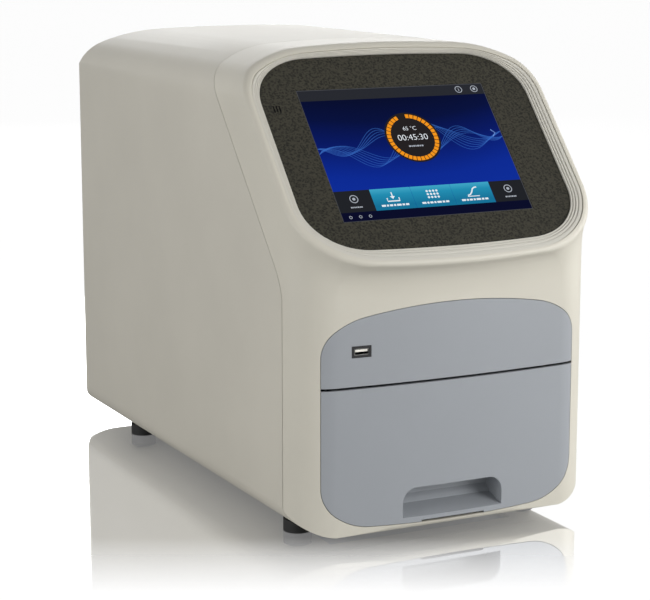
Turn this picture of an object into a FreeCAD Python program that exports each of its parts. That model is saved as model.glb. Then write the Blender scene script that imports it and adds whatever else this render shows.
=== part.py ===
"""Bench-top real-time PCR instrument with a 96-well block in a sliding drawer.

Frame: millimetres, +Z up, front towards -Y, X across. The origin is on the bench, under the middle of the housing.
Every piece is a closed solid or a set of closed solids, written to parts/NODE.step.
"""
import FreeCAD, Part
import math
import os

V = FreeCAD.Vector
X, Y, Z = V(1, 0, 0), V(0, 1, 0), V(0, 0, 1)

# Housing
HALF_WIDTH = 135.0          # outer half width
TOP_Z = 382.0               # highest line of the top
BOTTOM_Z = 10.0             # underside, held up by the feet
REAR_Y = 254.0              # rear face
WALL = 3.5                  # moulded wall
SHOULDER_X = 62.5           # width of the rounded shoulder
SHOULDER_Z = 39.0           # height of the rounded shoulder
SHOULDER_TIGHT = 0.472      # reach of the shoulder's tighter arc, as a share of its height
TOP_CROWN = 2.2             # rise of the top between the shoulders
FLOOR_HALF = 95.0           # half width of the flat underside, which the chassis stands in
LOW_CORNER_X = HALF_WIDTH - FLOOR_HALF
LOW_CORNER_Z = 27.0         # height of the rounding of the long lower edges
REAR_TOP_ROUND = 80.0       # rounding of the top into the rear, seen from the side
REAR_SIDE_ROUND = 18.0      # rounding of the sides into the rear
REAR_LOW_ROUND = 22.0       # rounding of the underside into the rear
ROUND = 0.4142              # the same share for a plain quarter round
SEAM_GAP = 0.6              # parting line between the fascia and the main cover
SEAT_GAP = 0.3              # play between pieces that slip into each other
LAP = 7.0                   # the fascia's inner lip reaches this far each side of the parting line
LAP_WALL = 2.0

# Sloping face that carries the screen
SLOPE_DEG = 41.8            # from the vertical
FACE_Y = -181.2             # middle of the sloping face
FACE_Z = 303.7
HOOD_DEPTH = 30.0           # depth over which the hood blends into the lower front
HOOD_STEPS = 4              # outlines along that blend
SEAM_DEPTH = 45.0           # the parting line runs this far behind the sloping face
SEAM_Y = -206.5             # and then straight down here
SEAM_BEND = 40.0
RIM_TOP = 105.0             # rim outline, measured up the slope from the middle of the face
RIM_BOTTOM = -109.5
RIM_LOW_X = 65.5            # lower corners of the rim
RIM_LOW_V = 62.5
RIM_LOW_CROWN = 2.5
LIP = 5.5                   # width of the rolled lip round the face
LIP_ROUND = 4.0
LIP_STEPS = 5               # outlines along the rolled edge
FACE_WALL = 9.0             # thickness of the housing behind the lip
POCKET_DEPTH = 6.0          # the surround and the bezel lie in a pocket this deep
SURROUND_STEPS = 3          # the surround goes down to the bezel in steps
SURROUND_STEP = 1.1
SURROUND_TREAD = 2.2

# Display
BEZEL_HALF = HALF_WIDTH - 13.5
BEZEL_TOP = RIM_TOP - 11.0
BEZEL_BOTTOM = RIM_BOTTOM + 14.5
BEZEL_CROWN = 2.4
BEZEL_CORNER = 55.0
BEZEL_THICK = 1.8
SCREEN_W = 169.2            # lit area of the screen
SCREEN_H = 125.4
SCREEN_U = -3.6             # the lit area sits a little to the left
GLASS_THICK = 1.1
MODULE_BORDER = 7.0         # border of the screen module round the lit area
MODULE_THICK = 9.0
BRACKET_THICK = 1.5
BRACKET_BORDER = 9.0
BOARD_THICK = 1.6
STANDOFF = 5.0

# Lower front
FRONT_Y = -238.3            # middle of the lower front
FRONT_CROWN = 4.3           # the front bows back this much towards its corners
FRONT_CORNER = 35.0         # rounding of the front into the sides
FRONT_LOW_ROUND = 7.0       # rounding of the lower front edge
PANEL_HALF = HALF_WIDTH - 22.0
PANEL_TOP = 189.5
PANEL_TOP_CROWN = 7.0
PANEL_TOP_CORNER = (35.0, 30.0)
PANEL_BOTTOM = 14.8
PANEL_LOW_CROWN = 2.0
PANEL_LOW_CORNER = (40.0, 33.0)
PANEL_SPLIT_Z = 128.0       # gap between the fixed panel and the drawer front
SPLIT_GAP = 1.8
PANEL_GAP = 0.5             # gap round the panels
PANEL_THICK = 3.0
LEDGE = 5.0                 # the fixed panel rests on a ledge this wide
LEDGE_THICK = 2.5

# Drawer
DRAWER_WALL = 3.0
FRAME_HALF = 92.0           # box frame moulded behind the drawer front
FRAME_LOW = 19.0
FRAME_HIGH = 121.0
FRAME_BACK_Y = -206.0
HANDLE_HALF = 45.0
HANDLE_TOP = 43.5
HANDLE_LOW = 17.5
HANDLE_BACK_Y = -213.0
HANDLE_RISE = 8.0           # the floor of the recess climbs this much towards the back
HANDLE_UNDERCUT = 8.0       # finger room above the lower edge of the front
HANDLE_WALL = 2.5
HANDLE_ROUND = 12.0
RELEASE_HALF = 28.5         # slot under the drawer front
RELEASE_HIGH = 1.6
TRAY_HALF = 80.0
TRAY_FLOOR_Z = 26.0
TRAY_TOP_Z = 102.0
TRAY_REAR_Y = 62.0
TRAY_SHEET = 2.0
RAIL_Z = 70.0
RAIL_HIGH = 26.0
RAIL_CHANNEL = 4.7
RAIL_SHEET = 1.2
RAIL_PLAY = 0.3
SLIDE_THICK = 2.6
RAIL_FRONT_Y = -188.0
RAIL_REAR_Y = 120.0

# Thermal block
BLOCK_Y = -88.0             # middle of the block with the drawer shut
WELL_PITCH = 9.0
WELL_COLUMNS = 12
WELL_ROWS = 8
WELL_TOP_R = 2.9
WELL_LOW_R = 1.4
WELL_DEEP = 13.0
WELL_SIDES = 10             # the tapered wells are drawn with this many flats
BLOCK_HIGH = 16.0
BLOCK_MARGIN = 4.4
BLOCK_FOOT = 5.0
BLOCK_FOOT_HIGH = 4.0
PELTIER_THICK = 3.6
PELTIER = 39.0
PELTIER_COLUMNS = 3
PELTIER_ROWS = 2
SINK_BASE = 9.0
SINK_FINS = 15
FIN_THICK = 1.6
SINK_MARGIN = 4.0
DECK_THICK = 2.5
PLATE_LENGTH = 127.8        # standard 96-well plate
PLATE_WIDTH = 85.5
PLATE_OVER_BLOCK = 14.0

# Chassis
BASE_HALF = FLOOR_HALF - 3.0
BASE_SHEET = 2.0
BASE_OPEN_HALF = BASE_HALF - 8.0
BASE_SLOTS = 9              # rows of air slots
BASE_SLOT = (36.0, 3.0)
BASE_SLOT_PITCH = (48.0, 8.0)
BASE_FRONT_Y = -196.0
BASE_REAR_Y = 231.5
BASE_LAP = 7.0
SIDE_HALF = BASE_HALF - 2.0  # outside of the two side channels
SIDE_SHEET = 2.0
SIDE_FLANGE = 16.0
SIDE_FRONT_Y = -190.0
SIDE_REAR_Y = 205.0
SIDE_HOLE = 44.0
SIDE_HOLES = 5
DECK_Z = 172.0              # underside of the optics deck
DECK_SHEET = 2.0
DECK_HALF = 96.0
DECK_FRONT_Y = -158.0

# Heated cover
COVER_TRAVEL = 10.0
COVER_CLEAR = 1.5           # the cover stops this far above a plate
HEATER_THICK = 6.0
CARRIER_THICK = 9.0
CARRIER_HALF = 76.0
ROD_X = 67.5
ROD_R = 3.0
ROD_PLAY = 0.05
BUSH_WALL = 2.0
LIFT_SCREW_R = 4.0
LIFT_Y = 58.0               # the lift screw is this far behind the middle of the block
LIFT_MOTOR = 28.0
LIFT_MOTOR_HIGH = 32.0

# Optics
SHROUD_HALF = 68.0
SHROUD_DEPTH = 104.0
SHROUD_HIGH = 112.0
SHROUD_WALL = 2.5
MIRROR_THICK = 3.0
LENS_THICK = 3.0
WHEEL_R = 54.0
WHEEL_THICK = 5.0
WHEEL_X = 38.0
WHEEL_HUB_R = 9.0
FILTER_COUNT = 6
FILTER_R = 11.0
FILTER_THICK = 3.0
OPTIC_Z = 66.0              # optical axis above the deck
SHAFT_R = 2.5
SHAFT_PLAY = 0.05
WHEEL_MOTOR_R = 14.0
WHEEL_MOTOR_LONG = 30.0
WHEEL_GAP = 3.0
LENS_R = 15.0
LENS_LONG = 34.0
CAMERA_HALF = 20.0
CAMERA_LONG = 46.0
LAMP_LONG = 46.0
LAMP_DEEP = 26.0
LAMP_HIGH = 52.0
LAMP_FINS = 6

# Rear
REAR_OPEN_HALF = 92.0
REAR_OPEN_LOW = 38.5
REAR_OPEN_HIGH = 197.0
REAR_OPEN_ROUND = 6.0
REAR_LAP = 6.0
REAR_SHEET = 1.5
FAN = 92.0
FAN_DEEP = 25.0
FAN_X = 38.0
FAN_Z = 136.0
FAN_WALL = 2.0
FAN_HUB_R = 17.0
FAN_BLADES = 7
BLADE_PITCH = 38.0
BLADE_THICK = 1.4
FAN_TIP_GAP = 1.0
FAN_PIN_R = 1.5
SMALL_FAN = 60.0
SMALL_FAN_DEEP = 15.0
GUARD_SLOTS = 11
GUARD_PITCH = 7.4
GUARD_SLOT = 4.2
VENT_SLOTS = 8              # slots beside the switch
VENT_X = 30.0
VENT_LOW = 50.0
VENT_HIGH = 76.0
INLET_X = -62.0
INLET_Z = 66.0
INLET_FLANGE = (48.0, 30.0)
INLET_BODY = (38.0, 22.0)
INLET_MOUTH = (24.4, 16.4)
INLET_DEEP = 16.0
ROCKER_X = -15.0
ROCKER_FRAME = (24.0, 20.0)
ROCKER_SIZE = (17.0, 13.0)
ROCKER_PIN_R = 1.2
ROCKER_DEG = 9.0
PORT_Z = 140.0
PORT_X = -72.0
PORT_PITCH = 24.0
USB_OUT = (13.2, 5.8)
USB_IN = (12.4, 5.0)
NET_OUT = (16.0, 14.0)
NET_IN = (11.8, 8.4)
PORT_DEEP = 15.0

# Front socket
FRONT_USB_X = -80.8
FRONT_USB_Z = 156.3
FRONT_USB_BEZEL = (16.2, 9.0)

# Boards and supply
SUPPLY = (96.0, 118.0, 56.0)
SUPPLY_X = -18.0
SUPPLY_Y = 158.0
MAIN_BOARD = (150.0, 96.0)
MAIN_BOARD_Y = 148.0
DRIVER_BOARD = (96.0, 82.0)
DRIVER_X = 52.0

# Feet
FOOT_R = 11.5
FOOT_SCREW_R = 4.5
FOOT_SCREW_DEEP = 3.0
FOOT_X = FLOOR_HALF + 9.0
FOOT_FRONT_Y = -170.0
FOOT_REAR_Y = 168.0
FOOT_HIGH = BOTTOM_Z

SCREW_R = 3.2
SCREW_HEAD = 1.8

SIN = math.sin(math.radians(SLOPE_DEG))
COS = math.cos(math.radians(SLOPE_DEG))
BIG = 900.0


def on_face(u, v, depth=0.0):
    """A point of a plane parallel to the sloping face: u across, v up the slope, depth behind the face."""
    return V(u, FACE_Y + v * SIN + depth * COS, FACE_Z + v * COS - depth * SIN)


INWARD = on_face(0, 0, 1) - on_face(0, 0, 0)


def v_of_z(z, depth):
    return (z - FACE_Z + depth * SIN) / COS


def v_of_y(y, depth):
    return (y - FACE_Y - depth * COS) / SIN


def line(a, b):
    return Part.LineSegment(a, b).toShape()


def arc_edge(place, a, b, knee, stretch):
    """Edge from a to b whose end tangents meet at knee: round, or an ellipse where heights are stretched."""
    chord = math.hypot(b[0] - a[0], (b[1] - a[1]) / stretch) / 2
    middle = ((a[0] + b[0]) / 2, (a[1] + b[1]) / 2)
    rise = math.hypot(knee[0] - middle[0], (knee[1] - middle[1]) / stretch)
    if stretch != 1:
        curve = Part.BezierCurve()
        curve.setPoles([place(*a), place(*knee), place(*b)])
        curve.setWeight(2, chord / math.hypot(chord, rise))
        return curve.toShape()
    share = chord * math.tan(math.atan2(rise, chord) / 2) / rise
    top = (blend(middle[0], knee[0], share), blend(middle[1], knee[1], share))
    return Part.Arc(place(*a), place(*top), place(*b)).toShape()


def corner(place, p, q, along_p, along_q, tight, stretch=1):
    """A smooth corner of two arcs from p, leaving along along_p, to q, arriving along along_q."""
    side_p = (along_p[0], along_p[1] / stretch)
    side_q = (along_q[0], along_q[1] / stretch)
    long_p, long_q = math.hypot(*side_p), math.hypot(*side_q)
    a = (side_p[0] / long_p, side_p[1] / long_p)
    b = (side_q[0] / long_q, side_q[1] / long_q)
    across = (q[0] - p[0], (q[1] - p[1]) / stretch)
    on_a = across[0] * a[0] + across[1] * a[1]
    on_b = across[0] * b[0] + across[1] * b[1]
    turn = 1 - a[0] * b[0] - a[1] * b[1]
    half = (across[0] ** 2 + across[1] ** 2) / 2
    reach = tight * min(long_p, long_q)
    if long_p <= long_q:
        reach_p, reach_q = reach, (half - reach * on_a) / (on_b + reach * turn)
    else:
        reach_p, reach_q = (half - reach * on_b) / (on_a + reach * turn), reach
    knee_p = (p[0] + reach_p * a[0], p[1] + reach_p * a[1] * stretch)
    knee_q = (q[0] - reach_q * b[0], q[1] - reach_q * b[1] * stretch)
    share = reach_p / (reach_p + reach_q)
    joint = (blend(knee_p[0], knee_q[0], share), blend(knee_p[1], knee_q[1], share))
    return [arc_edge(place, p, joint, knee_p, stretch), arc_edge(place, joint, q, knee_q, stretch)]


def crown_slope(crown, half, stretch):
    """Slope at the end of a bowed line of this crown and half length."""
    return math.tan(2 * math.atan2(crown / stretch, half)) * stretch


def crowned(place, start, crown, stretch):
    """Bowed line from start to its mirror image; crown is its rise in the middle."""
    end = (-start[0], start[1])
    if crown == 0:
        return line(place(*start), place(*end))
    knee = (0, start[1] + crown_slope(crown, abs(start[0]), stretch) * abs(start[0]))
    return arc_edge(place, start, end, knee, stretch)


def soft_outline(place, half, top, bottom, up, low, up_crown, low_crown, tight=(ROUND, ROUND), stretch=(1, 1)):
    """A closed wire: straight sides, crowned top and bottom, soft corners.

    up and low are the corners' (width, height). tight and stretch hold a value for the upper and the lower corners.
    """
    ux, lx = half - up[0], half - low[0]
    u_end, l_end = top - up_crown, bottom + low_crown
    u_side, l_side = u_end - up[1], l_end + low[1]
    u_rise = crown_slope(up_crown, ux, stretch[0]) * up[0]
    l_rise = crown_slope(low_crown, lx, stretch[1]) * low[0]
    edges = [line(place(half, l_side), place(half, u_side))]
    edges += corner(place, (half, u_side), (ux, u_end), (0, up[1]), (-up[0], u_rise), tight[0], stretch[0])
    edges.append(crowned(place, (ux, u_end), up_crown, stretch[0]))
    edges += corner(place, (-ux, u_end), (-half, u_side), (-up[0], -u_rise), (0, -up[1]), tight[0], stretch[0])
    edges.append(line(place(-half, u_side), place(-half, l_side)))
    edges += corner(place, (-half, l_side), (-lx, l_end), (0, -low[1]), (low[0], -l_rise), tight[1], stretch[1])
    edges.append(crowned(place, (-lx, l_end), -low_crown, stretch[1]))
    edges += corner(place, (lx, l_end), (half, l_side), (low[0], l_rise), (0, low[1]), tight[1], stretch[1])
    return Part.Wire(edges)


def prism(wire, direction):
    return Part.Face(wire).extrude(direction)


def box(x0, x1, y0, y1, z0, z1):
    return Part.makeBox(x1 - x0, y1 - y0, z1 - z0, V(x0, y0, z0))


def rod(r, start, end):
    return Part.makeCylinder(r, (end - start).Length, start, end - start)


def tube(r_out, r_in, start, end):
    return rod(r_out, start, end).cut(rod(r_in, start, end))


def slope_box(u0, u1, v0, v1, d0, d1):
    """A block whose faces lie along the sloping face."""
    corners = [on_face(u0, v0, d0), on_face(u1, v0, d0), on_face(u1, v1, d0), on_face(u0, v1, d0)]
    return prism(Part.makePolygon(corners + corners[:1]), INWARD * (d1 - d0))


def slope_rod(r, u, v, d0, d1):
    return rod(r, on_face(u, v, d0), on_face(u, v, d1))


def fuse(first, *others):
    return first.multiFuse(list(others)).removeSplitter() if others else first


def group(solids):
    return Part.makeCompound(solids)


def mirror_x(shape):
    return shape.mirror(V(0, 0, 0), X)


def blend(a, b, t):
    return a + (b - a) * t


def turned(shape, centre, axis, degrees):
    copy = shape.copy()
    copy.rotate(centre, axis, degrees)
    return copy


def hood_outline(depth, inset):
    """Outline of the hood in the plane that lies depth behind the sloping face."""
    ease = max(0.0, 1 - depth / HOOD_DEPTH) ** 2
    top = v_of_z(TOP_Z - inset, depth)
    wall_low = v_of_y(FRONT_Y + inset, depth)
    proud = v_of_y(FRONT_Y, 0) - RIM_BOTTOM
    low_x = blend(FRONT_CORNER, RIM_LOW_X, ease) - inset
    low_v = blend((FRONT_CORNER - inset) / SIN, RIM_LOW_V - inset, ease)
    low_crown = blend(FRONT_CROWN / SIN, RIM_LOW_CROWN, ease)
    return soft_outline(lambda u, v: on_face(u, v, depth), HALF_WIDTH - inset, top, wall_low - proud * ease,
                        (SHOULDER_X - inset, (SHOULDER_Z - inset) / COS), (low_x, low_v),
                        TOP_CROWN / COS, low_crown, (SHOULDER_TIGHT, ROUND), (1 / COS, blend(1 / SIN, 1, ease)))


def hood(stations):
    """The front of the housing, lofted through its outlines at the given (depth, inset)."""
    return Part.makeLoft([hood_outline(depth, inset) for depth, inset in stations], True, True)


def down_to_trunk(start, inset):
    return [(blend(start, HOOD_DEPTH, i / HOOD_STEPS), inset) for i in range(HOOD_STEPS + 1)]


def rolled_edge():
    """Stations of the quarter round at the front edge of the hood."""
    angles = [math.radians(90.0 * i / LIP_STEPS) for i in range(LIP_STEPS)]
    return [(LIP_ROUND * (1 - math.cos(a)), LIP_ROUND * (1 - math.sin(a))) for a in angles]


def behind_plane(depth):
    """Everything behind the plane that lies depth behind the sloping face."""
    return slope_box(-BIG, BIG, -BIG, BIG, depth, depth + BIG)


def front_prism(inset):
    """Front view of the housing, run from front to rear."""
    wire = soft_outline(lambda x, z: V(x, -BIG, z), HALF_WIDTH - inset, TOP_Z - inset, BOTTOM_Z + inset,
                        (SHOULDER_X - inset, SHOULDER_Z - inset), (LOW_CORNER_X - inset, LOW_CORNER_Z - inset),
                        TOP_CROWN, 0.0, (SHOULDER_TIGHT, ROUND))
    return prism(wire, Y * (2 * BIG))


def plan_prism(inset):
    """Plan view of the housing, run from bottom to top."""
    wire = soft_outline(lambda x, y: V(x, y, -BIG), HALF_WIDTH - inset, REAR_Y - inset, FRONT_Y + inset,
                        (REAR_SIDE_ROUND - inset, REAR_SIDE_ROUND - inset),
                        (FRONT_CORNER - inset, FRONT_CORNER - inset), 0.0, FRONT_CROWN)
    return prism(wire, Z * (2 * BIG))


def side_prism(inset):
    """Side view of the housing without its sloping face, run from side to side."""
    low, rear, front = BOTTOM_Z + inset, REAR_Y - inset, FRONT_Y + inset
    high = TOP_Z - inset
    r_top, r_low, r_front = REAR_TOP_ROUND - inset, REAR_LOW_ROUND - inset, max(1.0, FRONT_LOW_ROUND - inset)
    place = lambda y, z: V(-BIG, y, z)
    edges = [line(place(front, low + r_front), place(front, high))]
    edges.append(line(place(front, high), place(rear - r_top, high)))
    edges += corner(place, (rear - r_top, high), (rear, high - r_top), (r_top, 0), (0, -r_top), ROUND)
    edges.append(line(place(rear, high - r_top), place(rear, low + r_low)))
    edges += corner(place, (rear, low + r_low), (rear - r_low, low), (0, -r_low), (-r_low, 0), ROUND)
    edges.append(line(place(rear - r_low, low), place(front + r_front, low)))
    edges += corner(place, (front + r_front, low), (front, low + r_front), (-r_front, 0), (0, r_front), ROUND)
    return prism(Part.Wire(edges), X * (2 * BIG))


def trunk(inset):
    """The housing behind the hood, at an inset from its outer surface."""
    whole = front_prism(inset).common(plan_prism(inset)).common(side_prism(inset))
    return whole.common(behind_plane(HOOD_DEPTH))


def behind_seam(offset):
    """Everything behind the parting line, moved offset towards the rear."""
    y, depth, radius = SEAM_Y + offset, SEAM_DEPTH + offset, SEAM_BEND - offset
    knee = on_face(0, v_of_y(y, depth), depth)
    half_turn = math.radians(SLOPE_DEG / 2)
    run = radius * math.tan(half_turn)
    start = V(-BIG, y, knee.z - run)
    end = V(-BIG, y + run * SIN, knee.z + run * COS)
    middle = V(-BIG, y + radius - radius * math.cos(half_turn), knee.z - run + radius * math.sin(half_turn))
    far = V(-BIG, y + BIG * SIN, knee.z + BIG * COS)
    edges = [line(V(-BIG, y, -BIG), start), Part.Arc(start, middle, end).toShape(), line(end, far)]
    edges.append(line(far, V(-BIG, BIG, far.z)))
    edges.append(line(V(-BIG, BIG, far.z), V(-BIG, BIG, -BIG)))
    edges.append(line(V(-BIG, BIG, -BIG), V(-BIG, y, -BIG)))
    return prism(Part.Wire(edges), X * (2 * BIG))


OUTER_TRUNK = trunk(0)
INNER_TRUNK = trunk(WALL)
OUTER_HOOD = hood(rolled_edge() + down_to_trunk(LIP_ROUND, 0))
INNER_HOOD = hood(down_to_trunk(FACE_WALL, WALL))


def panel_outline(gap, y):
    """Front view of the grey panel, grown by gap."""
    grow = lambda size: (size[0] + gap, size[1] + gap)
    return soft_outline(lambda x, z: V(x, y, z), PANEL_HALF + gap, PANEL_TOP + gap, PANEL_BOTTOM - gap,
                        grow(PANEL_TOP_CORNER), grow(PANEL_LOW_CORNER), PANEL_TOP_CROWN, PANEL_LOW_CROWN)


def panel_prism(gap):
    """The panel's outline run back through the front wall."""
    return prism(panel_outline(gap, FRONT_Y - LAP), Y * (FRAME_BACK_Y - FRONT_Y + LAP))


def above(z):
    return box(-BIG, BIG, -BIG, BIG, z, BIG)


def below(z):
    return box(-BIG, BIG, -BIG, BIG, -BIG, z)


def bezel_outline(grow, depth):
    side = BEZEL_CORNER + grow
    return soft_outline(lambda u, v: on_face(u, v, depth), BEZEL_HALF + grow, BEZEL_TOP + grow,
                        BEZEL_BOTTOM - grow, (side, side), (side, side), BEZEL_CROWN, BEZEL_CROWN)


def lip_outline(depth, play=0.0):
    """Inner edge of the rolled lip, or the outline of what fits it with some play."""
    inner = LIP + play
    low = (RIM_LOW_X - inner, RIM_LOW_V - inner)
    return soft_outline(lambda u, v: on_face(u, v, depth), HALF_WIDTH - inner, RIM_TOP - inner,
                        RIM_BOTTOM + inner, (SHOULDER_X - inner, SHOULDER_Z / COS - inner), low,
                        TOP_CROWN / COS, RIM_LOW_CROWN, (SHOULDER_TIGHT, ROUND), (1 / COS, 1))


def module_window(grow, d0, d1):
    half_u, half_v = SCREEN_W / 2 + MODULE_BORDER + grow, SCREEN_H / 2 + MODULE_BORDER + grow
    return slope_box(SCREEN_U - half_u, SCREEN_U + half_u, -half_v, half_v, d0, d1)


def screen_window(shrink, d0, d1):
    half_u, half_v = SCREEN_W / 2 - shrink, SCREEN_H / 2 - shrink
    return slope_box(SCREEN_U - half_u, SCREEN_U + half_u, -half_v, half_v, d0, d1)


def make_main_cover():
    shell = OUTER_TRUNK.cut(INNER_TRUNK).common(behind_seam(SEAM_GAP / 2))
    floor = box(-BASE_OPEN_HALF, BASE_OPEN_HALF, BASE_FRONT_Y + BASE_LAP, BASE_REAR_Y - BASE_LAP, 0,
                BOTTOM_Z + 2 * WALL)
    window = box(-REAR_OPEN_HALF, REAR_OPEN_HALF, REAR_Y - 3 * WALL, REAR_Y + WALL, REAR_OPEN_LOW, REAR_OPEN_HIGH)
    window = window.makeFillet(REAR_OPEN_ROUND, [e for e in window.Edges if abs(e.tangentAt(0).y) > 0.9])
    return shell.cut(floor).cut(window)


def make_front_fascia():
    """Front moulding: the rolled lip, the cove under it, the lower front and a lap that slips into the main cover."""
    shell = OUTER_HOOD.fuse(OUTER_TRUNK).cut(INNER_HOOD).cut(INNER_TRUNK).cut(behind_seam(-SEAM_GAP / 2))
    lap = trunk(WALL + SEAT_GAP).cut(trunk(WALL + SEAT_GAP + LAP_WALL))
    lap = lap.common(behind_seam(-LAP)).cut(behind_seam(LAP)).common(above(BOTTOM_Z + LOW_CORNER_Z))
    root = trunk(WALL).cut(trunk(WALL + SEAT_GAP + LAP_WALL))
    root = root.common(behind_seam(-LAP)).cut(behind_seam(-LAP / 2)).common(above(BOTTOM_Z + LOW_CORNER_Z))
    ledge = INNER_TRUNK.cut(trunk(WALL + LEDGE_THICK)).common(panel_prism(LEDGE))
    ledge = ledge.common(above(PANEL_SPLIT_Z + SPLIT_GAP / 2))
    body = shell.multiFuse([lap, root, ledge])
    pocket = prism(lip_outline(-1), INWARD * (POCKET_DEPTH + 1))
    body = body.cut(pocket).cut(module_window(SEAT_GAP, 0, 2 * FACE_WALL))
    fixed = panel_prism(PANEL_GAP).cut(trunk(PANEL_THICK)).common(above(PANEL_SPLIT_Z + SPLIT_GAP / 2))
    drawer = panel_prism(PANEL_GAP).common(below(PANEL_SPLIT_Z + SPLIT_GAP / 2))
    socket = front_socket_hole(SEAT_GAP)
    return body.cut(fixed).cut(drawer).cut(socket).removeSplitter()


def front_socket_hole(gap):
    half_x, half_z = FRONT_USB_BEZEL[0] / 2 + gap, FRONT_USB_BEZEL[1] / 2 + gap
    return box(FRONT_USB_X - half_x, FRONT_USB_X + half_x, FRONT_Y - WALL, FRONT_Y + 4 * WALL,
               FRONT_USB_Z - half_z, FRONT_USB_Z + half_z)


def make_screen_surround():
    """A ring inside the lip that goes down to the bezel in steps."""
    rise = SURROUND_STEP * 0.6
    ring = prism(lip_outline(rise, SEAT_GAP), INWARD * (POCKET_DEPTH - rise))
    for i in range(1, SURROUND_STEPS):
        tread = bezel_outline(SURROUND_TREAD * (SURROUND_STEPS - i), -1)
        ring = ring.cut(prism(tread, INWARD * (rise + SURROUND_STEP * i + 1)))
    return ring.cut(prism(bezel_outline(0, -1), INWARD * (POCKET_DEPTH + 2)))


def make_screen_bezel():
    """Dark panel round the screen; it lies on the floor of the pocket."""
    top = POCKET_DEPTH - BEZEL_THICK
    plate = prism(bezel_outline(-SEAT_GAP, top), INWARD * BEZEL_THICK)
    return plate.cut(screen_window(0, 0, 2 * POCKET_DEPTH))


def make_touch_glass():
    return screen_window(SEAT_GAP / 2, POCKET_DEPTH - GLASS_THICK, POCKET_DEPTH)


def make_screen_module():
    body = module_window(0, POCKET_DEPTH, POCKET_DEPTH + MODULE_THICK)
    recess = screen_window(-MODULE_BORDER / 2, POCKET_DEPTH + MODULE_THICK - 1.5, POCKET_DEPTH + MODULE_THICK + 1)
    return body.cut(recess)


def screen_posts(reach, radius, d0, d1):
    half_u = SCREEN_W / 2 + MODULE_BORDER + reach
    half_v = SCREEN_H / 2 - 2 * MODULE_BORDER
    return [slope_rod(radius, SCREEN_U + su * half_u, sv * half_v, d0, d1) for su in (-1, 1) for sv in (-1, 1)]


def make_screen_bracket():
    """Sheet-metal plate that holds the screen module against the face, on four posts."""
    back = POCKET_DEPTH + MODULE_THICK
    plate = module_window(BRACKET_BORDER, back, back + BRACKET_THICK)
    plate = plate.cut(screen_window(2 * MODULE_BORDER, back - 1, back + 2 * BRACKET_THICK))
    posts = screen_posts(BRACKET_BORDER / 2, BRACKET_BORDER / 3, FACE_WALL, back)
    return fuse(plate, *posts)


def make_screen_board():
    """Circuit board behind the screen, on standoffs, with its main chips and a ribbon connector."""
    back = POCKET_DEPTH + MODULE_THICK + BRACKET_THICK
    level = back + STANDOFF
    half_v = SCREEN_H / 2 - MODULE_BORDER
    half_u = SCREEN_W / 2 - MODULE_BORDER
    board = slope_box(SCREEN_U - half_u, SCREEN_U + half_u, -half_v, half_v, level, level + BOARD_THICK)
    chips = []
    for u, v, size, high in ((-30, 10, 24, 2.4), (18, 16, 16, 1.8), (18, -20, 12, 1.8), (48, 8, 10, 5.0)):
        chips.append(slope_box(SCREEN_U + u, SCREEN_U + u + size, v, v + size, level + BOARD_THICK,
                               level + BOARD_THICK + high))
    posts = [slope_rod(2.5, SCREEN_U + su * (half_u - 5), sv * (half_v - 5), back, level)
             for su in (-1, 1) for sv in (-1, 1)]
    posts = [p.common(slope_box(-BIG, BIG, -BIG, BIG, back, level)) for p in posts]
    return fuse(board, *(chips + posts))


def make_upper_panel():
    """Fixed grey panel above the drawer, flush with the fascia."""
    z0 = PANEL_SPLIT_Z + SPLIT_GAP / 2
    panel = OUTER_TRUNK.cut(trunk(PANEL_THICK)).common(panel_prism(0)).common(above(z0 + SEAT_GAP))
    return panel.cut(front_socket_hole(SEAT_GAP / 2)).removeSplitter()


def make_front_usb_socket():
    """Socket with a dark surround, flush with the panel, on a small block behind it."""
    half_x, half_z = FRONT_USB_BEZEL[0] / 2, FRONT_USB_BEZEL[1] / 2
    back = FRONT_Y + WALL + LEDGE_THICK + 8
    body = box(FRONT_USB_X - half_x, FRONT_USB_X + half_x, FRONT_Y - WALL, back + 8,
               FRONT_USB_Z - half_z, FRONT_USB_Z + half_z).common(OUTER_TRUNK)
    mouth = box(FRONT_USB_X - USB_IN[0] / 2, FRONT_USB_X + USB_IN[0] / 2, FRONT_Y - WALL, back,
                FRONT_USB_Z - USB_IN[1] / 2, FRONT_USB_Z + USB_IN[1] / 2)
    tongue = box(FRONT_USB_X - USB_IN[0] / 2 + 1, FRONT_USB_X + USB_IN[0] / 2 - 1, FRONT_Y + WALL, back,
                 FRONT_USB_Z + 0.1, FRONT_USB_Z + 1.7)
    return body.cut(mouth).fuse(tongue)


def handle_profile(grow, floor_grow):
    """Side view of the finger recess, from its mouth in the drawer front to its undercut back."""
    front = FRONT_Y - LAP
    lip = FRONT_Y + PANEL_THICK + 1.0
    high = HANDLE_TOP + HANDLE_UNDERCUT
    low_back = HANDLE_LOW + HANDLE_RISE
    points = [V(0, front, HANDLE_LOW - floor_grow), V(0, HANDLE_BACK_Y - 5, low_back - floor_grow),
              V(0, HANDLE_BACK_Y + grow, low_back + 6), V(0, HANDLE_BACK_Y + grow, high + grow),
              V(0, lip - grow, high + grow), V(0, lip - grow, HANDLE_TOP + grow), V(0, front, HANDLE_TOP + grow)]
    return Part.makePolygon(points + points[:1])


def handle_recess(grow, floor_grow):
    half = HANDLE_HALF + grow
    block = prism(handle_profile(grow, floor_grow), X * (2 * half))
    block.translate(V(-half, 0, 0))
    if grow == 0:
        upright = [e for e in block.Edges if abs(e.tangentAt(0).y) > 0.99 and e.CenterOfMass.z > HANDLE_TOP - 1
                   and e.CenterOfMass.z < HANDLE_TOP + 1 and abs(abs(e.CenterOfMass.x) - half) < 1]
        block = block.makeFillet(HANDLE_ROUND, upright)
    return block


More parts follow.
